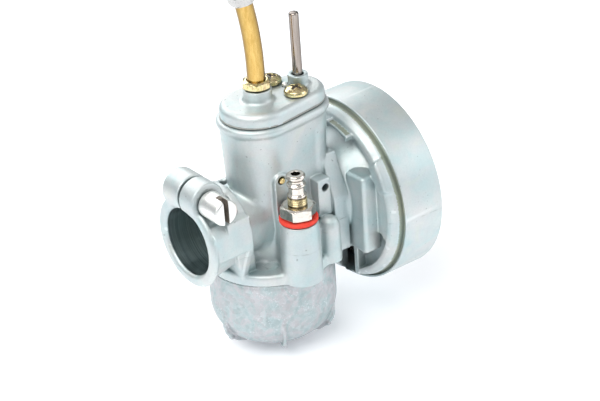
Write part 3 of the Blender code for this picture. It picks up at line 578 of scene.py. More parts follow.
# ---- materials --------------------------------------------------------------------
class Look:
    """A Principled material built from nodes; patterns are in millimetres."""

    def __init__(self, name, metallic=1.0):
        self.material = bpy.data.materials.new("look_" + name)
        self.material.use_nodes = True
        self.tree = self.material.node_tree
        self.shader = self.tree.nodes["Principled BSDF"]
        self.shader.inputs["Metallic"].default_value = metallic
        coords = self.tree.nodes.new("ShaderNodeTexCoord")
        scaled = self.tree.nodes.new("ShaderNodeVectorMath")
        scaled.operation = "SCALE"
        scaled.inputs["Scale"].default_value = 1.0 / MM
        self.tree.links.new(coords.outputs["Object"], scaled.inputs[0])
        self.place = scaled.outputs[0]

    def plug(self, socket, value):
        if isinstance(value, bpy.types.NodeSocket):
            self.tree.links.new(value, socket)
        elif value is not None:
            socket.default_value = value

    def noise(self, size, detail=3.0, rough=0.55, stretch=None, distort=0.0):
        node = self.tree.nodes.new("ShaderNodeTexNoise")
        node.inputs["Scale"].default_value = 1.0 / size
        node.inputs["Detail"].default_value = detail
        node.inputs["Roughness"].default_value = rough
        node.inputs["Distortion"].default_value = distort
        self.plug(node.inputs["Vector"], self.stretched(stretch))
        return node.outputs["Fac"]

    def stretched(self, stretch):
        if not stretch:
            return self.place
        node = self.tree.nodes.new("ShaderNodeVectorMath")
        node.operation = "MULTIPLY"
        self.plug(node.inputs[0], self.place)
        node.inputs[1].default_value = stretch
        return node.outputs[0]

    def cells(self, size, output="Color", feature="F1", random=1.0):
        node = self.tree.nodes.new("ShaderNodeTexVoronoi")
        node.feature = feature
        node.inputs["Scale"].default_value = 1.0 / size
        node.inputs["Randomness"].default_value = random
        self.plug(node.inputs["Vector"], self.place)
        return node.outputs[output]

    def ramp(self, value, *stops):
        """Colour ramp; stops are (position, grey or colour)."""
        node = self.tree.nodes.new("ShaderNodeValToRGB")
        elements = node.color_ramp.elements
        while len(elements) < len(stops):
            elements.new(0.5)
        for element, (position, colour) in zip(elements, stops):
            element.position = position
            if isinstance(colour, (int, float)):
                colour = (colour,) * 3
            element.color = tuple(colour) + (1.0,)
        self.plug(node.inputs["Fac"], value)
        return node.outputs["Color"]

    def mix(self, share, first, second, blend="MIX"):
        node = self.tree.nodes.new("ShaderNodeMix")
        node.data_type = "RGBA"
        node.blend_type = blend
        share_in, first_in, second_in = (node.inputs[k] for k in (0, 6, 7))
        for socket, value in ((share_in, share), (first_in, first), (second_in, second)):
            if isinstance(value, tuple):
                value = value + (1.0,)
            self.plug(socket, value)
        return node.outputs[2]

    def math(self, operation, first, second=None, third=None, clamp=False):
        node = self.tree.nodes.new("ShaderNodeMath")
        node.operation = operation
        node.use_clamp = clamp
        for socket, value in zip(node.inputs, (first, second, third)):
            self.plug(socket, value)
        return node.outputs[0]

    def part(self, axis):
        node = self.tree.nodes.new("ShaderNodeSeparateXYZ")
        self.plug(node.inputs[0], self.place)
        return node.outputs[axis]

    def occlusion_shade(self, distance=3.0):
        """Ambient occlusion for painted shade: near 1 in the open, lower in corners and holes."""
        node = self.tree.nodes.new("ShaderNodeAmbientOcclusion")
        node.samples = 6
        node.inputs["Distance"].default_value = distance * MM
        return node.outputs["AO"]

    def grazing(self, low=0.35, high=0.95):
        """0 where the surface faces the eye, 1 where it turns away."""
        node = self.tree.nodes.new("ShaderNodeLayerWeight")
        node.inputs["Blend"].default_value = 0.5
        return self.ramp(node.outputs["Facing"], (low, 0.0), (high, 1.0))

    def edges(self):
        node = self.tree.nodes.new("ShaderNodeNewGeometry")
        return node.outputs["Pointiness"]

    def bump(self, height, depth, below=None):
        node = self.tree.nodes.new("ShaderNodeBump")
        node.inputs["Strength"].default_value = 1.0
        node.inputs["Distance"].default_value = depth * MM
        self.plug(node.inputs["Height"], height)
        if below is not None:
            self.plug(node.inputs["Normal"], below)
        return node.outputs["Normal"]

    def finish(self, colour, roughness, normal=None):
        if isinstance(colour, tuple):
            colour = colour + (1.0,)
        self.plug(self.shader.inputs["Base Color"], colour)
        self.plug(self.shader.inputs["Roughness"], roughness)
        if normal is not None:
            self.plug(self.shader.inputs["Normal"], normal)
        return self.material


def parting_line(look, height):
    """Thin broken line where the mould halves met, at a height in the frame."""
    off = look.math("ABSOLUTE", look.math("SUBTRACT", look.part("Z"), height))
    near = look.math("SUBTRACT", 1.0, look.math("DIVIDE", off, 0.22), clamp=True)
    broken = look.ramp(look.noise(2.2, 2.0), (0.42, 0.0), (0.55, 1.0))
    return look.math("MULTIPLY", near, broken)


def cast_look(name, cool, warm, roughness, painted_corner_shade, parting=None):
    look = Look(name, 0.92)
    patches = look.noise(14.0, 3.0, 0.6, distort=0.6)
    base = look.mix(look.ramp(patches, (0.35, 0.0), (0.65, 1.0)), cool, warm)
    tint = look.ramp(look.noise(9.0, 2.0, 0.5, distort=1.2),
                     (0.30, (0.60, 0.84, 0.86)), (0.46, (0.80, 0.84, 0.85)),
                     (0.58, (0.86, 0.80, 0.84)), (0.72, (0.88, 0.86, 0.76)))
    base = look.mix(0.30, base, tint, "MULTIPLY")
    grain = look.noise(0.55, 4.0, 0.7)
    base = look.mix(0.5, base, look.ramp(grain, (0.30, 0.82), (0.62, 1.0)), "MULTIPLY")
    pits = look.ramp(look.noise(0.8, 1.0, 0.3), (0.22, 1.0), (0.27, 0.0))
    pits = look.math("MULTIPLY", pits, look.ramp(look.noise(7.0, 1.0), (0.5, 0.0), (0.6, 1.0)))
    base = look.mix(look.math("MULTIPLY", pits, 0.55), base, (0.16, 0.19, 0.19))
    # painted shade: ambient occlusion darkens corners and holes towards the shade colour
    corner = look.ramp(look.occlusion_shade(3.5), (0.15, 1.0), (0.85, 0.0))
    base = look.mix(look.math("MULTIPLY", corner, 0.62), base, painted_corner_shade)
    worn = look.ramp(look.edges(), (0.53, 0.0), (0.60, 1.0))
    base = look.mix(look.math("MULTIPLY", worn, 0.35), base, (0.90, 0.93, 0.93))
    rough = look.math("ADD", roughness, look.math("MULTIPLY", look.math("SUBTRACT", grain, 0.5), 0.25))
    rough = look.math("SUBTRACT", rough, look.math("MULTIPLY", worn, 0.10))
    normal = look.bump(look.noise(3.2, 2.0), 0.10)
    normal = look.bump(grain, 0.028, normal)
    if parting is not None:
        line = parting_line(look, parting)
        base = look.mix(look.math("MULTIPLY", line, 0.30), base, (0.30, 0.34, 0.33))
        normal = look.bump(line, 0.10, normal)
    return look.finish(base, rough, normal)


def machined_look(name, colour, dark):
    """Bored metal: fine rings along x over a dull skin."""
    look = Look(name, 1.0)
    ring_pitch = 0.55
    rings = look.noise(1.0, 4.0, 0.8, stretch=(1.0 / ring_pitch, 0.02, 0.02))
    streak = look.ramp(rings, (0.35, 0.0), (0.65, 1.0))
    base = look.mix(streak, dark, colour)
    stain = look.ramp(look.noise(4.0, 3.0), (0.35, 0.0), (0.7, 1.0))
    base = look.mix(look.math("MULTIPLY", stain, 0.35), base, dark)
    rough = look.math("ADD", 0.30, look.math("MULTIPLY", stain, 0.2))
    return look.finish(base, rough, look.bump(rings, 0.04))


def spangled_look(name):
    """Grey bowl casting with a mottled, crystalline skin."""
    look = Look(name, 0.88)
    flakes = look.cells(1.5)
    patches = look.noise(6.5, 4.0, 0.65, distort=1.5)
    base = look.ramp(patches, (0.28, (0.38, 0.48, 0.50)), (0.44, (0.48, 0.56, 0.57)),
                     (0.58, (0.57, 0.56, 0.58)), (0.74, (0.44, 0.53, 0.55)))
    shade = look.ramp(flakes, (0.0, 0.66), (1.0, 1.08))
    base = look.mix(0.45, base, shade, "MULTIPLY")
    glint = look.ramp(look.noise(0.5, 2.0, 0.5), (0.57, 0.0), (0.66, 1.0))
    where = look.ramp(look.noise(5.0, 2.0), (0.48, 0.0), (0.62, 1.0))
    glint = look.math("MULTIPLY", glint, where)
    base = look.mix(look.math("MULTIPLY", glint, 0.4), base, (0.86, 0.90, 0.92))
    streaks = look.ramp(look.cells(2.6, "Distance", "DISTANCE_TO_EDGE"), (0.0, 1.0), (0.05, 0.0))
    base = look.mix(look.math("MULTIPLY", streaks, 0.12), base, (0.80, 0.84, 0.86))
    # painted shade: ambient occlusion darkens corners and holes
    corner = look.ramp(look.occlusion_shade(3.0), (0.2, 1.0), (0.9, 0.0))
    base = look.mix(look.math("MULTIPLY", corner, 0.5), base, (0.20, 0.22, 0.24))
    worn = look.ramp(look.edges(), (0.52, 0.0), (0.58, 1.0))
    base = look.mix(look.math("MULTIPLY", worn, 0.15), base, (0.75, 0.79, 0.80))
    rough = look.math("ADD", 0.40, look.math("MULTIPLY", look.noise(1.4, 3.0), 0.22))
    normal = look.bump(look.noise(0.7, 4.0, 0.7), 0.05)
    return look.finish(base, rough, normal)


def plated_look(name, colours, roughness, painted_dark=(0.10, 0.09, 0.07), patch=1.6, mark=0.02, rim=0.0):
    """Plated or bare turned metal with drifting tints, faint turning marks, painted shade in corners and
    painted dark reflection where it turns from the eye.
    """
    look = Look(name, 1.0)
    stops = [(0.30 + 0.42 * k / max(1, len(colours) - 1), c) for k, c in enumerate(colours)]
    base = look.ramp(look.noise(patch, 3.0, 0.6, distort=0.8), *stops)
    # painted shade: ambient occlusion darkens corners towards the dark colour
    corner = look.ramp(look.occlusion_shade(1.2), (0.2, 1.0), (0.85, 0.0))
    base = look.mix(look.math("MULTIPLY", corner, 0.55), base, painted_dark)
    # painted dark reflection: darker where the surface turns from the eye, scaled by rim
    base = look.mix(look.math("MULTIPLY", look.grazing(), rim), base, painted_dark)
    fine = look.noise(0.35, 3.0, 0.6)
    rough = look.math("ADD", roughness, look.math("MULTIPLY", look.math("SUBTRACT", fine, 0.5), 0.18))
    return look.finish(base, rough, look.bump(fine, mark))


def brushed_look(name, colour, dark, roughness, stretch, rim=0.8):
    """Drawn or turned bar: streaks along its length, with painted dark reflection where it turns away."""
    look = Look(name, 1.0)
    streak = look.noise(0.9, 4.0, 0.7, stretch=stretch)
    base = look.mix(look.ramp(streak, (0.35, 0.0), (0.65, 1.0)), dark, colour)
    blot = look.ramp(look.noise(5.0, 3.0), (0.45, 0.0), (0.75, 1.0))
    base = look.mix(look.math("MULTIPLY", blot, 0.35), base, dark)
    # painted dark reflection: darker where the surface turns from the eye, scaled by rim
    turned = look.grazing(0.06, 0.62)
    base = look.mix(look.math("MULTIPLY", turned, rim), base, tuple(0.42 * c for c in dark))
    rough = look.math("ADD", roughness, look.math("MULTIPLY", streak, 0.12))
    return look.finish(base, rough, look.bump(streak, 0.008))


def dull_look(name, first, second, size, roughness, depth, metallic=0.0):
    """Fibre, paper, plastic: mottled colour, painted shade in corners and a fine tooth."""
    look = Look(name, metallic)
    mottle = look.noise(size, 4.0, 0.65)
    base = look.mix(look.ramp(mottle, (0.35, 0.0), (0.65, 1.0)), first, second)
    # painted shade: ambient occlusion darkens corners
    corner = look.ramp(look.occlusion_shade(1.0), (0.2, 1.0), (0.9, 0.0))
    base = look.mix(look.math("MULTIPLY", corner, 0.3), base, tuple(c * 0.45 for c in first))
    rough = look.math("ADD", roughness, look.math("MULTIPLY", mottle, 0.15))
    return look.finish(base, rough, look.bump(look.noise(size * 0.4, 3.0), depth))


def woven_look(name):
    """Knitted wire: crossing strands seen end on along x, with painted shade in the holes between them."""
    look = Look(name, 0.9)
    strands = look.cells(0.9, "Distance", "DISTANCE_TO_EDGE", random=0.35)
    wire = look.ramp(strands, (0.05, 1.0), (0.22, 0.0))
    # painted shade: near black between the strands, where the mesh has holes
    base = look.mix(wire, (0.05, 0.05, 0.05), (0.55, 0.56, 0.56))
    tone = look.noise(3.0, 2.0)
    base = look.mix(look.math("MULTIPLY", tone, 0.3), base, (0.3, 0.28, 0.24))
    return look.finish(base, look.math("ADD", 0.35, look.math("MULTIPLY", tone, 0.2)), look.bump(wire, 0.3))


# ---- finishes ---------------------------------------------------------------------
ZINC = cast_look("zinc_casting", (0.60, 0.69, 0.70), (0.72, 0.75, 0.74), 0.54, (0.16, 0.24, 0.25),
                 parting=THROAT.z / MM - 4.9)
# darker olive copy of the zinc: painted shade for the groove before the drum's rim and the hook's recess
GROOVE_SHADE_ZINC = cast_look("zinc_groove_painted_shade", (0.38, 0.43, 0.38), (0.44, 0.46, 0.35), 0.60, (0.22, 0.26, 0.24))
BORED = machined_look("bored_zinc", (0.52, 0.60, 0.60), (0.22, 0.29, 0.30))
BOWL = spangled_look("bowl_casting")
YELLOW = plated_look("yellow_zinc", ((0.44, 0.46, 0.20), (0.70, 0.60, 0.28), (0.80, 0.70, 0.42),
                                     (0.62, 0.45, 0.24), (0.42, 0.45, 0.24)), 0.20, rim=0.75)
BRIGHT = plated_look("bright_zinc", ((0.86, 0.86, 0.84), (0.95, 0.94, 0.91), (0.80, 0.81, 0.80)), 0.40,
                     mark=0.05)
NICKEL = plated_look("nickel", ((0.70, 0.63, 0.56), (0.82, 0.77, 0.71), (0.60, 0.53, 0.46)), 0.12,
                     painted_dark=(0.10, 0.07, 0.05), rim=0.8)
NECK = plated_look("neck_brass", ((0.58, 0.47, 0.27), (0.72, 0.60, 0.36), (0.46, 0.38, 0.22)), 0.24)
BRASS = plated_look("brass", ((0.84, 0.62, 0.27), (0.90, 0.70, 0.34), (0.78, 0.55, 0.22)), 0.24,
                    painted_dark=(0.22, 0.13, 0.04), patch=6.0)
TUBE = brushed_look("brass_tube", (0.80, 0.56, 0.20), (0.62, 0.39, 0.11), 0.13, (1.0, 1.0, 0.25), rim=1.0)
ROD = brushed_look("polished_rod", (0.56, 0.50, 0.45), (0.34, 0.29, 0.26), 0.12, (1.0, 1.0, 0.05), rim=1.0)
SPRING = plated_look("spring_steel", ((0.46, 0.46, 0.46), (0.58, 0.57, 0.55), (0.40, 0.40, 0.41)), 0.26)
RED = dull_look("red_fibre", (0.78, 0.035, 0.02), (0.86, 0.07, 0.04), 1.2, 0.62, 0.03)
# near-black look: painted shade for the insides of screw slots and recesses
SLOT_SHADE = dull_look("slot_painted_shade", (0.10, 0.085, 0.07), (0.20, 0.17, 0.14), 0.8, 0.6, 0.04)
PAPER = dull_look("gasket_paper", (0.30, 0.31, 0.29), (0.40, 0.40, 0.37), 0.8, 0.7, 0.04)
PLASTIC = dull_look("float_plastic", (0.86, 0.84, 0.76), (0.80, 0.77, 0.66), 4.0, 0.4, 0.01)
MESH = woven_look("wire_mesh")
SLOT_LOOKS = {
    "zinc_casting": ZINC, "bowl_casting": BOWL, "yellow_zinc": YELLOW, "bright_zinc": BRIGHT,
    "brass": BRASS, "nickel": NICKEL, "steel": ROD, "spring_steel": SPRING, "red_fibre": RED,
    "gasket_paper": PAPER, "float_plastic": PLASTIC, "wire_mesh": MESH,
}


SLOTS = {part["node"]: part["material_slot"] for part in frame["record"]["subparts"]}


def dress_cad_nodes():
    """Give every CAD node the procedural finish of its record slot."""
    for name, slot in SLOTS.items():
        materials = frame["nodes"][name].data.materials
        if not materials:
            materials.append(SLOT_LOOKS[slot])
        for index in range(len(materials)):
            materials[index] = SLOT_LOOKS[slot]


# ---- dimensions of the castings ------------------------------------------------------
BORE_R = 10.6
VENTURI_R = 8.5
CLAMP_FACE_X = -29.8
CLAMP_BORE_END_X = -16.5
SLEEVE_R = 13.3
SLEEVE_BACK_R = 11.6
SLEEVE_LIP_R = 14.3
TUBE_R = 10.2
COLLAR_R = 14.2
COLLAR_BACK_X = -15.2
COLLAR_FRONT_X = -17.4
LEG_TOP = (-20.9, -2.3)
LEG_FOOT = (-17.2, -12.5)
DRUM_R = 29.87
DRUM_WALL = 1.9
DRUM_RIM_X = 29.63
DRUM_MOUTH_X = local_box("carburetor_body")[1].x
DRUM_FLOOR_X = 30.4
GROOVE_X = 29.8
BACK_PLATE_X = 27.8
RING_INNER_R = 23.5
SLIDE_BORE_R = 9.3
SLIDE_BOTTOM_Z = local_box("throttle_slide")[0].z
CHOKE_X = 14.97
CHOKE_HALF = 8.3
LIP_BOTTOM_Z = 29.2
LIP_TOP_Z = 31.9
COVER_TOP_Z = 36.3
COLLAR_TOP_Z = 38.8
NUT_LIFT = 1.3
FLANGE_R = 19.4
FLANGE_TOP_Z = -12.5
FLANGE_BOTTOM_Z = -16.0
INLET_X = -1.5
INLET_Y = -18.0
INLET_BOSS_TOP_Z = 3.6
SEAT_Y = -10.0
PIN_Y = -14.0
PIN_Z = -19.8
BARREL_X = -25.2
BARREL_Z = 14.4
BARREL_R = 5.9
IDLE_Z = -6.0
TOWER_FOOT = ((-0.6, 10.0), (12.0, 8.1))
TOWER_HEAD = ((-0.8, 11.4), (12.2, 10.0))
LIP_OVAL = ((-0.8, 12.2), (12.4, 10.7))
COVER_OVAL = ((-0.5, 11.2), (13.2, 9.1))
SCREWS = {"front": (10.3, -4.9), "rear": (9.4, 6.6)}


# ---- body casting --------------------------------------------------------------------
def add_tower(body):
    body.add(cylinder("x", (0.0, 0.0), TUBE_R, COLLAR_FRONT_X + 0.6, 13.0, 0.5))
    body.add(oval_post(TOWER_FOOT, TOWER_HEAD, -13.0, LIP_BOTTOM_Z + 0.8, 0.3), 1.6)
    body.add(oval_post(LIP_OVAL, LIP_OVAL, LIP_BOTTOM_Z, LIP_TOP_Z, 1.25), 1.0)
    body.add(box((CHOKE_X - 1.9, -9.35, 5.0), (CHOKE_X + 1.9, 9.35, 26.0), 1.5), 1.5)


def collar_outline():
    flat, flat_top, shoulder = 14.0, 4.4, (12.7, 8.2)
    foot = FLANGE_BOTTOM_Z + 0.4
    top = arc((0.0, 0.0), COLLAR_R, 40.0, 140.0, 30)
    right = [(9.4, foot), (9.8, FLANGE_TOP_Z), (flat, -2.0), (flat, flat_top), shoulder]
    left = [(-y, z) for y, z in reversed(right)]
    return right + top + left


def leg(side):
    """Gusset from the flat of the clamp down to the flange, slanting in on its outer side."""
    rise, run = 11.5, 4.4
    (top_x, top_z), (foot_x, foot_z) = LEG_TOP, LEG_FOOT
    front = (foot_z - top_z, 0, top_x - foot_x)
    inner, back, outer = (0, -side, 0), (rise, 0, 3.5), (0, side * rise, -run)
    planes = ((front, front[0] * top_x + front[2] * top_z), (inner, -6.0), ((0, 0, -1), 15.6),
              ((0, 0, 1), -1.0), (back, rise * COLLAR_BACK_X - 3.5), (outer, 13.6 * rise + run))
    return convex(planes, (-22.0, -15.0, -16.0), (-11.0, 15.0, 0.0), 0.25)


def add_clamp(body):
    sleeve = [(0.0, CLAMP_FACE_X), (SLEEVE_LIP_R - 0.9, CLAMP_FACE_X), (SLEEVE_LIP_R, CLAMP_FACE_X + 0.8),
              (SLEEVE_LIP_R, CLAMP_FACE_X + 1.6), (SLEEVE_R, CLAMP_FACE_X + 2.2),
              (SLEEVE_BACK_R, LEG_TOP[0] + 1.5), (SLEEVE_BACK_R, COLLAR_BACK_X), (0.0, COLLAR_BACK_X)]
    body.add(lathe("x", (0.0, 0.0), rounded_corners(sleeve, 0.5)))
    body.add(cylinder("y", (BARREL_X, BARREL_Z), BARREL_R, -7.0, 8.2, 0.6), 1.2)
    body.add(extruded("x", collar_outline(), COLLAR_FRONT_X, COLLAR_BACK_X, 0.3), 0.2)
    body.add(leg(-1.0), 0.15)
    body.add(leg(1.0), 0.15)
    body.add(box((-23.0, -5.0, 5.0), (COLLAR_BACK_X - 0.5, 4.4, 13.8), 0.6), 0.8)
    low_flank = [(-13.9, -2.3), (-6.0, -2.3), (-6.0, 8.6), (-11.0, 8.6), (-13.9, 6.0)]
    body.add(extruded("x", low_flank, -28.6, COLLAR_BACK_X - 0.4, 0.2), 0.15)
    body.add(box((-23.8, -13.9, -2.2), (COLLAR_BACK_X - 0.6, -6.2, 9.2), 0.25), 0.15)


def add_flange_and_inlet(body):
    top_edge = arc((FLANGE_R - 1.2, FLANGE_TOP_Z - 1.2), 1.2, 0.0, 90.0, 6)
    flange = [(0.0, FLANGE_BOTTOM_Z), (FLANGE_R, FLANGE_BOTTOM_Z)] + top_edge + [(0.0, FLANGE_TOP_Z)]
    body.add(lathe("z", (0.0, 0.0), flange), 0.5)
    boss_foot = FLANGE_BOTTOM_Z + 0.3
    boss = [(0.0, boss_foot), (6.3, boss_foot), (5.75, INLET_BOSS_TOP_Z), (0.0, INLET_BOSS_TOP_Z)]
    body.add(lathe("z", (INLET_X, INLET_Y), boss), 1.1)
    body.add(box((-4.6, -17.0, -15.0), (2.6, -6.0, 2.4), 0.6), 0.8)
    body.add(box((COLLAR_BACK_X - 0.4, -6.0, -15.2), (-2.0, 6.0, -4.0), 0.3), 0.5)
    pillar = [(0.0, -15.6), (3.3, -15.6), (3.2, -3.6), (2.6, -1.9), (1.4, -0.9), (0.0, -0.7)]
    body.add(lathe("z", (11.3, -15.7), pillar), 1.0)
    body.add(box((2.0, -15.6, -15.4), (12.0, -7.0, -3.0), 0.9), 1.2)


def add_tower_fittings(body):
    pad = [(-4.6, 0.0), (0.6, 0.0)] + arc((-2.0, 14.3), 2.6, 0.0, 180.0, 16)
    body.add(extruded("y", pad, -11.75, -7.0, 0.4), 0.4)
    body.add(box((9.8, -13.2, -2.0), (14.6, -6.0, 10.2), 0.22), 0.2)
    body.add(box((-13.4, 1.9, 4.0), (-8.0, 8.0, 11.0), 0.25), 0.25)
    idle = [(0.0, 8.0), (5.2, 8.0), (4.4, 17.0), (0.0, 17.0)]
    body.add(lathe("y", (0.0, IDLE_Z), rounded_corners(idle, 0.8)), 1.4)


def add_filter_end(body):
    stations = ((12.0, 12.2, 0.0), (17.0, 12.8, -0.4), (20.5, 14.4, -1.6), (24.0, 17.2, -3.0),
                (28.0, 21.0, -4.0))
    body.add(flare(stations), 0.8)
    centre = (0.0, -DRUM_DROP)
    rim, inside = DRUM_R - 0.8, DRUM_FLOOR_X + 0.6
    back = [(0.0, BACK_PLATE_X), (RING_INNER_R, BACK_PLATE_X), (RING_INNER_R + 0.1, 26.4), (24.4, 25.7),
            (25.6, 25.4), (26.8, 25.9), (28.0, 27.2), (28.4, 28.2), (28.5, GROOVE_X), (rim, GROOVE_X),
            (rim, inside), (0.0, inside)]
    body.add(lathe("x", centre, back), 0.5)
    web = (((0, -1, 0), 14.0), ((0, 1, 0), -5.0), ((-1, 0, 0), -14.9), ((0, 0, -1), 15.9), ((0, 0, 1), 15.5),
           ((1, 0, 0), 20.3), ((0, -12.3, 4.8), 12.3 * 14.0 + 4.8 * 2.7))
    body.add(convex(web, (14.9, -14.0, -15.9), (20.3, -5.0, 15.5), 0.2), 0.3)
    pad = arc(centre, 28.3, 140.0, 160.0, 16) + arc(centre, 23.6, 160.0, 140.0, 16)
    body.add(extruded("x", pad, 24.5, 28.2, 1.3), 1.5)
    hook = arc(centre, 25.4, 93.0, 115.0, 12) + arc(centre, 24.3, 115.0, 93.0, 12)
    body.add(extruded("x", hook, 23.4, 28.4, 0.15), 0.2)
    for angle in (93.8, 114.4):
        tip = arc(centre, 25.9, angle - 1.0, angle + 1.0, 2) + arc(centre, 23.6, angle + 1.0, angle - 1.0, 2)
        body.add(extruded("x", tip, 23.2, 28.4, 0.15), 0.15)


def add_float_gear_supports(body):
    body.add(cylinder("z", (0.0, 0.0), 4.6, -35.5, FLANGE_TOP_Z, 0.3))
    body.add(cylinder("z", (INLET_X, SEAT_Y), 3.4, -17.4, FLANGE_TOP_Z, 0.2))
    for x in (INLET_X - 4.7, INLET_X + 4.7):
        body.add(box((x - 0.9, PIN_Y - 1.6, PIN_Z - 1.9), (x + 0.9, PIN_Y + 1.6, FLANGE_BOTTOM_Z + 1.0), 0.2))


def cut_clamp(body):
    mouth = [(0.0, -34.0), (BORE_R + 0.8, -34.0), (BORE_R + 0.8, CLAMP_FACE_X), (BORE_R, CLAMP_FACE_X + 0.8),
             (BORE_R, CLAMP_BORE_END_X), (0.0, CLAMP_BORE_END_X)]
    body.cut(lathe("x", (0.0, 0.0), mouth), 0.25)
    body.cut(cylinder("y", (BARREL_X, BARREL_Z), 4.2, -22.0, -7.0, 0.3), 0.25)
    body.cut(cylinder("y", (BARREL_X, BARREL_Z), 2.8, -20.0, 20.0, 0.1))
    body.cut(cylinder("y", (BARREL_X, BARREL_Z), 4.8, 4.6, 20.0, 0.1), 0.2)
    body.cut(box((-34.0, -0.5, 5.0), (-17.9, 0.5, 23.0), 0.05), 0.3)


def cut_filter_end(body):
    centre = (0.0, -DRUM_DROP)
    body.cut(cylinder("x", centre, DRUM_R - DRUM_WALL, DRUM_FLOOR_X, 60.0, 0.6), 0.3)
    inside = ((13.0, VENTURI_R, 0.0), (17.5, VENTURI_R + 0.9, 0.0), (22.1, 12.4, -1.6), (25.6, 15.2, -3.0),
              (29.6, 19.0, -4.0), (31.4, 20.6, -4.0))
    body.cut(flare(inside), 0.3)
    through = arc(centre, 27.9, -107.7, -88.0, 14) + arc(centre, 18.0, -88.0, -118.2, 14)
    body.cut(extruded("x", through, 16.0, 32.0, 0.3), 0.2)
    blind = arc(centre, 25.4, -162.0, -112.5, 20) + arc(centre, 21.8, -116.9, -162.0, 20)
    body.cut(extruded("x", blind, 20.0, BACK_PLATE_X + 0.8, 0.4), 0.3)
    floor = arc(centre, 24.2, 148.0, 197.0, 14) + arc(centre, 18.0, 197.0, 148.0, 14)
    body.add(extruded("x", floor, 25.9, BACK_PLATE_X + 0.4, 0.3), 1.0)
    body.add(box((20.9, -20.5, -16.4), (27.5, -12.0, 9.4), 1.2), 0.3)
    body.add(box((25.4, -10.3, -29.4), (DRUM_FLOOR_X, -8.4, -16.5), 0.15), 0.1)


def cut_holes(body):
    body.cut(cylinder("x", (0.0, 0.0), VENTURI_R, -20.0, 18.0, 0.1))
    body.cut(cylinder("z", (0.0, 0.0), SLIDE_BORE_R, SLIDE_BOTTOM_Z - 0.3, 40.0, 0.1))
    body.cut(box((CHOKE_X - 0.75, -CHOKE_HALF, -VENTURI_R), (CHOKE_X + 0.75, CHOKE_HALF, 40.0), 0.05))
    body.cut(box((CHOKE_X - 2.0, -CHOKE_HALF + 1.0, 9.5), (CHOKE_X + 2.0, CHOKE_HALF - 1.0, 40.0), 0.1))
    body.cut(cylinder("z", (INLET_X, INLET_Y), 6.15, INLET_BOSS_TOP_Z, 13.0, 0.1))
    body.cut(cylinder("z", (INLET_X, INLET_Y), 2.9, -1.0, 8.0, 0.1))
    body.cut(cylinder("z", (INLET_X, INLET_Y), 1.8, -13.4, 2.0, 0.1))
    body.cut(cylinder("y", (-2.0, 14.5), 1.2, -20.0, -5.0, 0.1))
    body.cut(cylinder("y", (12.7, 7.2), 1.2, -16.0, -8.8, 0.1), 0.15)
    body.cut(cylinder("z", (-11.2, 5.5), 1.3, 6.0, 14.0, 0.1), 0.2)
    body.cut(cylinder("y", (0.0, IDLE_Z), 2.3, 6.0, 20.0, 0.1))
    for x, y in SCREWS.values():
        body.cut(cylinder("z", (x, y), 1.9, 25.0, 40.0, 0.1))
    mark = [(2.05, FLANGE_TOP_Z - 0.22), (2.45, FLANGE_TOP_Z - 0.22), (2.45, -11.0), (2.05, -11.0)]
    body.cut(ring("z", (-7.4, -10.8), mark), 0.1)


def cut_float_gear(body):
    body.cut(cylinder("x", (PIN_Y, PIN_Z), 1.1, INLET_X - 12.0, INLET_X + 12.0, 0.1))
    body.cut(cylinder("z", (INLET_X, SEAT_Y), 2.6, -30.0, -11.2, 0.1))
    body.cut(cylinder("z", (0.0, 0.0), 2.6, -40.0, 0.0, 0.1))


def build_body():
    low, high = local_box("carburetor_body")
    body = Casting(low, high, 0.38)
    add_flange_and_inlet(body)
    add_tower(body)
    add_clamp(body)
    add_tower_fittings(body)
    add_filter_end(body)
    body.cut(cylinder("z", (0.0, 0.0), 19.8, -40.0, FLANGE_BOTTOM_Z, 0.05))
    add_float_gear_supports(body)
    cut_clamp(body)
    cut_filter_end(body)
    cut_holes(body)
    cut_float_gear(body)
    looks = (ZINC, BORED, GROOVE_SHADE_ZINC)
    made = field_piece("body_casting", body, looks, "body", "carburetor_body", 195000)

    def grooved(at, normal):
        """The groove in front of the drum's rim, and the recess in the hook's front, which take the darker
        zinc as painted shade.
        """
        from_drum = math.hypot(at.y, at.z + DRUM_DROP)
        turn = math.degrees(math.atan2(at.z + DRUM_DROP, at.y))
        recess = 24.2 < from_drum < 25.6 and 94.5 < turn < 113.5 and 23.8 < at.x < 26.0
        return (from_drum > 28.3 and at.x > 27.6) or (recess and normal.x > -0.5)

    def bored(at, normal):
        """The clamp's bore."""
        inside = CLAMP_FACE_X + 1.1 < at.x < CLAMP_BORE_END_X + 0.3
        return inside and math.hypot(at.y, at.z) < BORE_R + 0.25
    # painted shade: the groove and the recess get the darker zinc
    paint(made, 2, grooved)
    paint(made, 1, bored)


def build_drum_wall():
    inner, stub = DRUM_R - DRUM_WALL - 0.12, DRUM_R - 0.78
    back, foot = DRUM_FLOOR_X + 0.2, DRUM_RIM_X - 0.3
    profile = [(inner, back), (inner, DRUM_MOUTH_X), (DRUM_R, DRUM_MOUTH_X), (DRUM_R, foot),
               (stub, foot), (stub, back)]
    turned_piece("drum_wall", rounded_corners(profile, 0.45), ZINC, "body", "carburetor_body",
                 along_x(-DRUM_DROP), loop=True, steps=192)


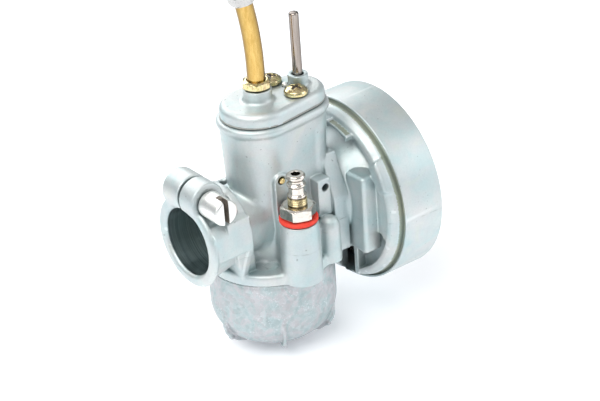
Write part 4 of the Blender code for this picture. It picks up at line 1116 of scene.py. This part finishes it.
# ---- cover --------------------------------------------------------------------------
def build_cover():
    low, high = local_box("top_cover")
    low.z = LIP_TOP_Z
    high.z = COLLAR_TOP_Z + NUT_LIFT
    cover = Casting(low, high, 0.22)
    cover.add(oval_post(COVER_OVAL, COVER_OVAL, LIP_TOP_Z + 0.15, COVER_TOP_Z + 2.0, 0.2))
    dome = oval_post(COVER_OVAL, COVER_OVAL, LIP_TOP_Z - 4.0, COVER_TOP_Z, 2.0)
    cover.value = np.maximum(cover.value, dome[0](*cover.window(low, high, 9.0)[1]))
    cover.add(cylinder("z", (0.0, 0.0), 4.25, COVER_TOP_Z - 1.0, COLLAR_TOP_Z + NUT_LIFT, 0.35), 1.5)
    cover.add(cylinder("z", (CHOKE_X, 0.0), 3.05, COVER_TOP_Z - 1.0, COLLAR_TOP_Z + 1.0, 0.35), 1.2)
    cover.cut(cylinder("z", (0.0, 0.0), 7.6, LIP_TOP_Z - 2.0, COVER_TOP_Z - 1.6, 0.1))
    cover.cut(cylinder("z", (0.0, 0.0), 3.0, 20.0, 50.0, 0.1), 0.2)
    cover.cut(cylinder("z", (CHOKE_X, 0.0), 1.8, 20.0, 50.0, 0.1), 0.2)
    recess = tuple((x, r - 0.6) for x, r in COVER_OVAL)
    cover.cut(oval_post(recess, recess, LIP_TOP_Z - 1.0, 32.7, 0.1))
    for x, y in SCREWS.values():
        cover.cut(cylinder("z", (x, y), 1.9, 20.0, 50.0, 0.1))
    rivet = (middle("cover_rivet") - THROAT) / MM
    cover.cut(cylinder("z", (rivet.x, rivet.y), 0.8, 20.0, 50.0, 0.1))
    field_piece("cover_casting", cover, ZINC, "body", "top_cover", 190000)


# ---- float bowl -----------------------------------------------------------------------
def build_bowl():
    low, high = local_box("float_bowl")
    top, side_end, bottom, wall, turn = high.z, -29.0, -41.0, 1.8, 12.0
    bowl = Casting(low, (high.x, high.y, FLANGE_BOTTOM_Z), 0.3)
    centre = (FLANGE_R - turn, side_end)
    outer = [(0.0, top), (FLANGE_R, top)] + arc(centre, turn, 0.0, -90.0, 16)
    outer += [(6.2, bottom), (5.9, bottom + 1.0), (0.0, bottom + 1.0)]
    bowl.add(lathe("z", (0.0, 0.0), outer))
    bead = [(FLANGE_R - 1.0, top - 2.1), (FLANGE_R - 0.1, top - 2.1), (FLANGE_R, top - 1.7),
            (FLANGE_R, top - 0.2), (FLANGE_R - 0.2, top), (FLANGE_R - 1.0, top)]
    bowl.add(ring("z", (0.0, 0.0), bead), 0.3)
    lip = [(18.75, top - 1.0), (FLANGE_R - 0.05, top - 1.0), (FLANGE_R - 0.05, FLANGE_BOTTOM_Z - 0.22),
           (FLANGE_R - 0.25, FLANGE_BOTTOM_Z - 0.04), (18.75, FLANGE_BOTTOM_Z - 0.04)]
    bowl.add(ring("z", (0.0, 0.0), lip), 0.1)
    fin = [(7.0, -38.0), (18.6, -29.0), (19.7, -30.2), (19.9, -33.5), (19.2, -36.0), (17.6, -38.3),
           (15.0, -40.3), (12.0, -41.4), (7.0, -41.4)]
    for k in range(6):
        angle = math.radians(2.0 + 60.0 * k)
        c, s = math.cos(angle), math.sin(angle)

        def rib(x, y, z, c=c, s=s):
            along, side = x * c + y * s, -x * s + y * c
            flat = polygon(fin, along, z + 0.0 * along)
            return walls([flat, np.abs(side) - 0.5], 0.35)
        bowl.add((rib, (-20.2, -20.2, -42.0), (20.2, 20.2, -28.5)), 0.6)
        tip = (17.3 * c, 17.3 * s, -38.0)

        def knob(x, y, z, tip=tip):
            return np.sqrt((x - tip[0]) ** 2 + (y - tip[1]) ** 2 + (z - tip[2]) ** 2) - 0.85
        bowl.add((knob, [v - 1 for v in tip], [v + 1 for v in tip]), 0.4)
    inner = [(0.0, top + 5.0), (FLANGE_R - wall, top + 5.0)] + arc(centre, turn - wall, 0.0, -90.0, 16)
    inner += [(0.0, bottom + wall)]
    bowl.cut(lathe("z", (0.0, 0.0), inner))
    bowl.cut(cylinder("z", (0.0, 0.0), 2.6, -50.0, -30.0, 0.1))
    field_piece("bowl_casting", bowl, BOWL, "body", "float_bowl", 120000)


# ---- fasteners and fittings -------------------------------------------------------------
def build_bowl_gasket():
    low, high = local_box("bowl_gasket")
    profile = [(17.7, low.z), (18.6, low.z), (18.6, high.z + 0.2), (17.7, high.z + 0.2)]
    turned_piece("bowl_gasket_ring", profile, PAPER, "body", "bowl_gasket",
                 loop=True)


def build_cover_screws():
    for name, (x, y) in SCREWS.items():
        node = "cover_screw_" + name
        low, high = local_box(node)
        seat, radius = COVER_TOP_Z + 0.3, 3.6
        screw = Casting(low, high, 0.12)
        dome = [(radius, 0.75), (radius * 0.93, 1.25), (radius * 0.72, 1.8), (radius * 0.4, 2.1), (0.0, 2.2)]
        head = [(0.0, seat), (radius, seat)] + [(r, seat + h) for r, h in dome]
        screw.add(lathe("z", (x, y), head))
        screw.add(thread("z", (x, y), 1.6, low.z, seat + 0.3, 0.7, 0.3))
        turn = {"front": 0.35, "rear": 1.0}[name]
        wings = [(math.cos(angle), math.sin(angle)) for angle in (turn, turn + math.pi / 2)]
        for c, s in wings:
            def wing(px, py, pz, c=c, s=s, x=x, y=y):
                along = (px - x) * c + (py - y) * s
                side = -(px - x) * s + (py - y) * c
                depth = np.abs(pz - (seat + 2.9)) - 2.1
                return walls([np.abs(along) - 2.1 + (seat + 2.2 - pz) * 0.35, np.abs(side) - 0.5, depth], 0.1)
            screw.cut((wing, (x - 3, y - 3, seat + 0.6), (x + 3, y + 3, seat + 4)), 0.1)
        made = field_piece(node + "_detail", screw, (YELLOW, SLOT_SHADE), "body", node, 60000)

        def in_recess(at, normal):
            across = min(abs(-(at.x - x) * s + (at.y - y) * c) for c, s in wings)
            out = math.hypot(at.x - x, at.y - y)
            surface = seat + np.interp(-out, [-r for r, _ in dome], [h for _, h in dome])
            return seat + 0.5 < at.z < surface - 0.22 and across < 0.62 and out < 2.3
        # painted shade: the cross recess of the head gets the near-black look
        paint(made, 1, in_recess)


def build_rivet():
    at = middle("cover_rivet") - THROAT
    profile = [(0, -2.4), (0.5, -2.4), (0.5, 0.1), (0.95, 0.1), (0.95, 0.45), (0.8, 0.8),
               (0.45, 1.0), (0, 1.08)]
    place = upright(at.x / MM, at.y / MM, COVER_TOP_Z)
    turned_piece("rivet_detail", profile, BRIGHT, "body", "cover_rivet", place, steps=36)


def build_fuel_inlet():
    washer_low, washer_high = (c.z for c in local_box("fuel_inlet_washer"))
    washer = [(3.2, washer_low), (5.55, washer_low), (5.85, washer_low + 0.3), (5.85, washer_high - 0.3),
              (5.55, washer_high), (3.2, washer_high)]
    place = upright(INLET_X, INLET_Y)
    turned_piece("fuel_washer_detail", washer, RED, "body", "fuel_inlet_washer", place, loop=True)
    low, high = local_box("fuel_inlet_fitting")
    fitting = Casting(low, high, 0.14)
    at = (INLET_X, INLET_Y)
    fitting.add(hexagon("z", at, 9.6, washer_high + 0.05, high.z, 0.12, 0.45))
    fitting.add(cylinder("z", at, 2.6, low.z, washer_high + 1.0, 0.1))
    fitting.cut(cylinder("z", at, 2.2, -5.0, 20.0, 0.1))
    field_piece("fuel_fitting_detail", fitting, NICKEL, "body", "fuel_inlet_fitting", 60000)
    top = local_box("fuel_hose_nipple")[1].z
    neck_low = high.z + 0.05
    reach = 3.2
    nipple = Casting((INLET_X - reach, INLET_Y - reach, 3.0), (INLET_X + reach, INLET_Y + reach, top), 0.11)
    nipple.add(cylinder("z", at, 1.9, 3.0, neck_low + 0.2, 0.1))
    nipple.add(thread("z", at, 2.95, neck_low, 11.7, 0.62, 0.24))
    barb = [(0.0, 11.4), (2.3, 11.4), (2.35, 11.9), (2.9, 12.2), (2.9, 12.6), (2.35, 13.0), (2.4, 15.2),
            (2.9, 15.7), (2.9, 16.0), (2.3, 16.5), (2.2, 17.3), (2.7, 17.8), (2.9, 18.3), (2.8, 18.9),
            (2.35, top), (0.0, top)]
    nipple.add(lathe("z", at, rounded_corners(barb, 0.35)), 0.15)
    nipple.cut(cylinder("z", at, 1.35, 2.0, 30.0, 0.1), 0.2)
    looks = (NICKEL, NECK)
    made = field_piece("hose_nipple_detail", nipple, looks, "body", "fuel_hose_nipple", 90000)
    paint(made, 1, lambda at, normal: at.z < 11.75)


def build_clamp_hardware():
    low, high = local_box("clamp_screw")
    at = (BARREL_X, BARREL_Z)
    screw = Casting(low, high, 0.15)
    screw.add(thread("y", at, 2.5, -7.5, high.y, 0.8, 0.35))
    screw.add(cylinder("y", at, 4.0, -16.2, -7.1, 0.9))
    slot_low, slot_high = (BARREL_X - 0.8, -18.0, BARREL_Z - 6.0), (BARREL_X + 0.8, -13.8, BARREL_Z + 6.0)
    screw.cut(box(slot_low, slot_high, 0.1), 0.15)
    looks = (BRIGHT, SLOT_SHADE)
    made = field_piece("clamp_screw_detail", screw, looks, "body", "clamp_screw", 60000)
    # painted shade: the slot of the screw head gets the near-black look
    paint(made, 1, lambda at, normal: abs(at.x - BARREL_X) < 0.9 and -15.9 < at.y < -12.0)
    low, high = local_box("clamp_nut")
    nut = Casting(low, high, 0.15)
    nut.add(hexagon("y", at, 7.6, low.y, high.y, 0.0, 0.4))
    nut.cut(cylinder("y", at, 2.6, 2.0, 15.0, 0.1), 0.2)
    field_piece("clamp_nut_detail", nut, BRIGHT, "body", "clamp_nut", 30000)


def build_cable_elbow():
    lean, bend, straight = math.radians(12.5), 100.0, 46.0
    path = [(0.0, 0.0, local_box("cable_elbow")[0].z + 0.02), (0.0, 0.0, 38.0), (0.0, 0.0, straight)]
    for step in range(1, 19):
        angle = lean * step / 18
        path.append((-bend * (1 - math.cos(angle)), 0.0, straight + bend * math.sin(angle)))
    ahead = Vector((-math.sin(lean), 0.0, math.cos(lean)))
    end = Vector(path[-1]) + ahead * 5.5
    path.append(tuple(end))
    tube = new_object("cable_tube", swept_mesh("cable_tube", path, 2.7, bore=1.6, steps=64))
    keep_piece(tube, TUBE, "body", "cable_elbow")
    low, high = (corner + Vector((0.0, 0.0, NUT_LIFT)) for corner in local_box("elbow_lock_nut"))
    nut = Casting(low, high, 0.14)
    nut.add(hexagon("z", (0.0, 0.0), 8.0, low.z - 0.1, high.z, 0.35, 0.5))
    nut.cut(cylinder("z", (0.0, 0.0), 2.75, 30.0, 50.0, 0.1), 0.25)
    field_piece("lock_nut_detail", nut, YELLOW, "body", "elbow_lock_nut", 40000)


def build_bowl_bolt():
    low, high = local_box("bowl_bolt")
    bolt = Casting(low, high, 0.16)
    head_top = -41.25
    bolt.add(hexagon("z", (0.0, 0.0), 9.0, low.z, head_top, 0.0, 0.4))
    bolt.add(thread("z", (0.0, 0.0), 2.3, head_top - 0.5, high.z, 0.8, 0.3))
    field_piece("bowl_bolt_detail", bolt, BRIGHT, "body", "bowl_bolt", 50000)


def spring_path(radius, low, high, turns, per_turn=36, closed=0.75):
    """Coil about local z whose end turns lie flat."""
    points = []
    total = int(turns * per_turn)
    for step in range(total + 1):
        t = step / total
        turn = t * turns
        share = min(1.0, max(0.0, (turn - closed) / (turns - 2 * closed)))
        points.append((radius * math.cos(2 * math.pi * turn), radius * math.sin(2 * math.pi * turn),
                       low + (high - low) * share))
    return points


def build_springs():
    low, high = local_box("throttle_spring")
    path = spring_path(6.3, low.z + 0.5, high.z - 0.5, 10)
    spring = new_object("throttle_spring_coil", swept_mesh("throttle_spring_coil", path, 0.45, steps=12))
    keep_piece(spring, SPRING, "body", "throttle_spring")
    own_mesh(spring)
    low, high = local_box("idle_spring")
    wire = 0.4
    upright_coil = spring_path(3.1, 0.0, high.y - low.y - 2 * wire, 5)
    coil = [(x, high.y - wire - z, y + IDLE_Z) for x, y, z in upright_coil]
    spring = new_object("idle_spring_coil", swept_mesh("idle_spring_coil", coil, wire, steps=12))
    keep_piece(spring, SPRING, "body", "idle_spring")


# ---- moving pieces ---------------------------------------------------------------------
def build_choke_rod():
    low, high = local_box("choke_rod")
    profile = [(0, low.z), (1.1, low.z), (1.5, low.z + 0.4), (1.5, high.z - 0.45), (1.32, high.z - 0.12),
               (1.0, high.z), (0, high.z)]
    turned_piece("push_rod", rounded_corners(profile, 0.15), ROD, "choke", "choke_rod",
                 upright(CHOKE_X, 0.0))


def build_idle_screw():
    low, high = local_box("idle_screw")
    screw = Casting(low, high, 0.14)
    at = (0.0, IDLE_Z)
    head = 23.6
    screw.add(thread("y", at, 2.0, low.y + 0.8, head + 0.2, 0.7, 0.3))
    screw.add(cylinder("y", at, 1.2, low.y, head, 0.3))
    screw.add(cylinder("y", at, 3.7, head, high.y, 0.4))
    screw.cut(box((-5.0, high.y - 1.5, IDLE_Z - 0.5), (5.0, high.y + 2.0, IDLE_Z + 0.5), 0.05), 0.1)
    field_piece("idle_screw_detail", screw, BRASS, "idle", "idle_screw", 60000)


def build_guide_pin():
    profile = [(0, 8.3), (0.9, 8.3), (0.9, 11.9), (0.7, 12.1), (0.2, 12.1), (0.0, 12.0)]
    turned_piece("guide_pin_detail", profile, BRASS, "body", "slide_guide_pin",
                 across_y(-2.0, 14.5, -1.0), steps=32)


# ---- surroundings ------------------------------------------------------------------------
def build_floor():
    half, gap = 40.0, 0.0002
    level = CAD_LOW.z - gap
    corners = [(-half, -half, level), (half, -half, level), (half, half, level), (-half, half, level)]
    mesh = bpy.data.meshes.new("floor")
    mesh.from_pydata(corners, [], [(0, 1, 2, 3)])
    floor = new_object("floor", mesh)
    look = Look("floor", 0.0)
    tone = look.noise(400.0, 2.0)
    base = look.mix(tone, (0.93, 0.94, 0.96), (0.95, 0.955, 0.97))
    look.shader.inputs["Emission Color"].default_value = (0.92, 0.94, 1.0, 1.0)
    look.shader.inputs["Emission Strength"].default_value = 0.22
    floor.data.materials.append(look.finish(base, look.math("ADD", 0.7, look.math("MULTIPLY", tone, 0.1))))


def area_light(name, at, target, size, power, colour=(1.0, 1.0, 1.0)):
    data = bpy.data.lights.new(name, "AREA")
    data.shape = "RECTANGLE"
    data.size, data.size_y = size
    data.energy = power
    data.color = colour
    lamp = bpy.data.objects.new(name, data)
    bpy.context.scene.collection.objects.link(lamp)
    lamp.location = at
    lamp.rotation_euler = (Vector(target) - Vector(at)).to_track_quat("-Z", "Y").to_euler()


def build_light():
    world = bpy.data.worlds.new("studio")
    bpy.context.scene.world = world
    world.use_nodes = True
    tree = world.node_tree
    back = tree.nodes["Background"]
    coords = tree.nodes.new("ShaderNodeTexCoord")
    split = tree.nodes.new("ShaderNodeSeparateXYZ")
    tree.links.new(coords.outputs["Generated"], split.inputs[0])
    ramp = tree.nodes.new("ShaderNodeValToRGB")
    stops = ((0.0, (0.30, 0.36, 0.38)), (0.12, (0.34, 0.42, 0.44)), (0.35, (0.62, 0.68, 0.70)),
             (0.75, (1.0, 1.0, 1.0)))
    while len(ramp.color_ramp.elements) < len(stops):
        ramp.color_ramp.elements.new(0.5)
    for element, (position, colour) in zip(ramp.color_ramp.elements, stops):
        element.position = position
        element.color = colour + (1.0,)
    tree.links.new(split.outputs["Z"], ramp.inputs["Fac"])
    paths = tree.nodes.new("ShaderNodeLightPath")
    seen = tree.nodes.new("ShaderNodeMixRGB")
    tree.links.new(paths.outputs["Is Camera Ray"], seen.inputs["Fac"])
    tree.links.new(ramp.outputs["Color"], seen.inputs["Color1"])
    seen.inputs["Color2"].default_value = (1.65, 1.68, 1.75, 1.0)
    tree.links.new(seen.outputs["Color"], back.inputs["Color"])
    back.inputs["Strength"].default_value = 0.55
    target = (0.0, 0.0, 0.05)
    area_light("key", (-0.45, -0.15, 0.70), target, (0.7, 0.5), 5.0, (1.0, 0.99, 0.97))
    area_light("fill", (0.60, -0.60, 0.45), target, (0.6, 0.6), 2.5, (0.96, 0.98, 1.0))
    area_light("rim", (0.1, 0.75, 0.55), target, (0.9, 0.4), 4.0)


# the photo's viewing angle: the camera's right, up and back directions, and its place in metres
CAMERA_AXES = ((0.7873, -0.6133, -0.0634), (0.3394, 0.3454, 0.8749), (-0.5147, -0.7103, 0.4801))
CAMERA_FROM_THROAT = Vector((-0.30346, -0.43605, 0.29247))
LENS_MM = 121.16


def build_camera():
    data = bpy.data.cameras.new("camera")
    data.sensor_width = 36.0
    data.lens = LENS_MM
    data.clip_start, data.clip_end = 0.01, 20.0
    camera = bpy.data.objects.new("camera", data)
    bpy.context.scene.collection.objects.link(camera)
    camera.rotation_mode = "QUATERNION"
    camera.rotation_quaternion = Matrix(CAMERA_AXES).transposed().to_quaternion()
    camera.location = THROAT + CAMERA_FROM_THROAT
    bpy.context.scene.camera = camera


dress_cad_nodes()
build_body()
build_drum_wall()
build_cover()
build_bowl()
build_bowl_gasket()
build_cover_screws()
build_rivet()
build_fuel_inlet()
build_clamp_hardware()
build_cable_elbow()
build_bowl_bolt()
build_springs()
build_choke_rod()
build_idle_screw()
build_guide_pin()
build_floor()
build_light()
build_camera()
bpy.context.scene.view_settings.view_transform = "Standard"
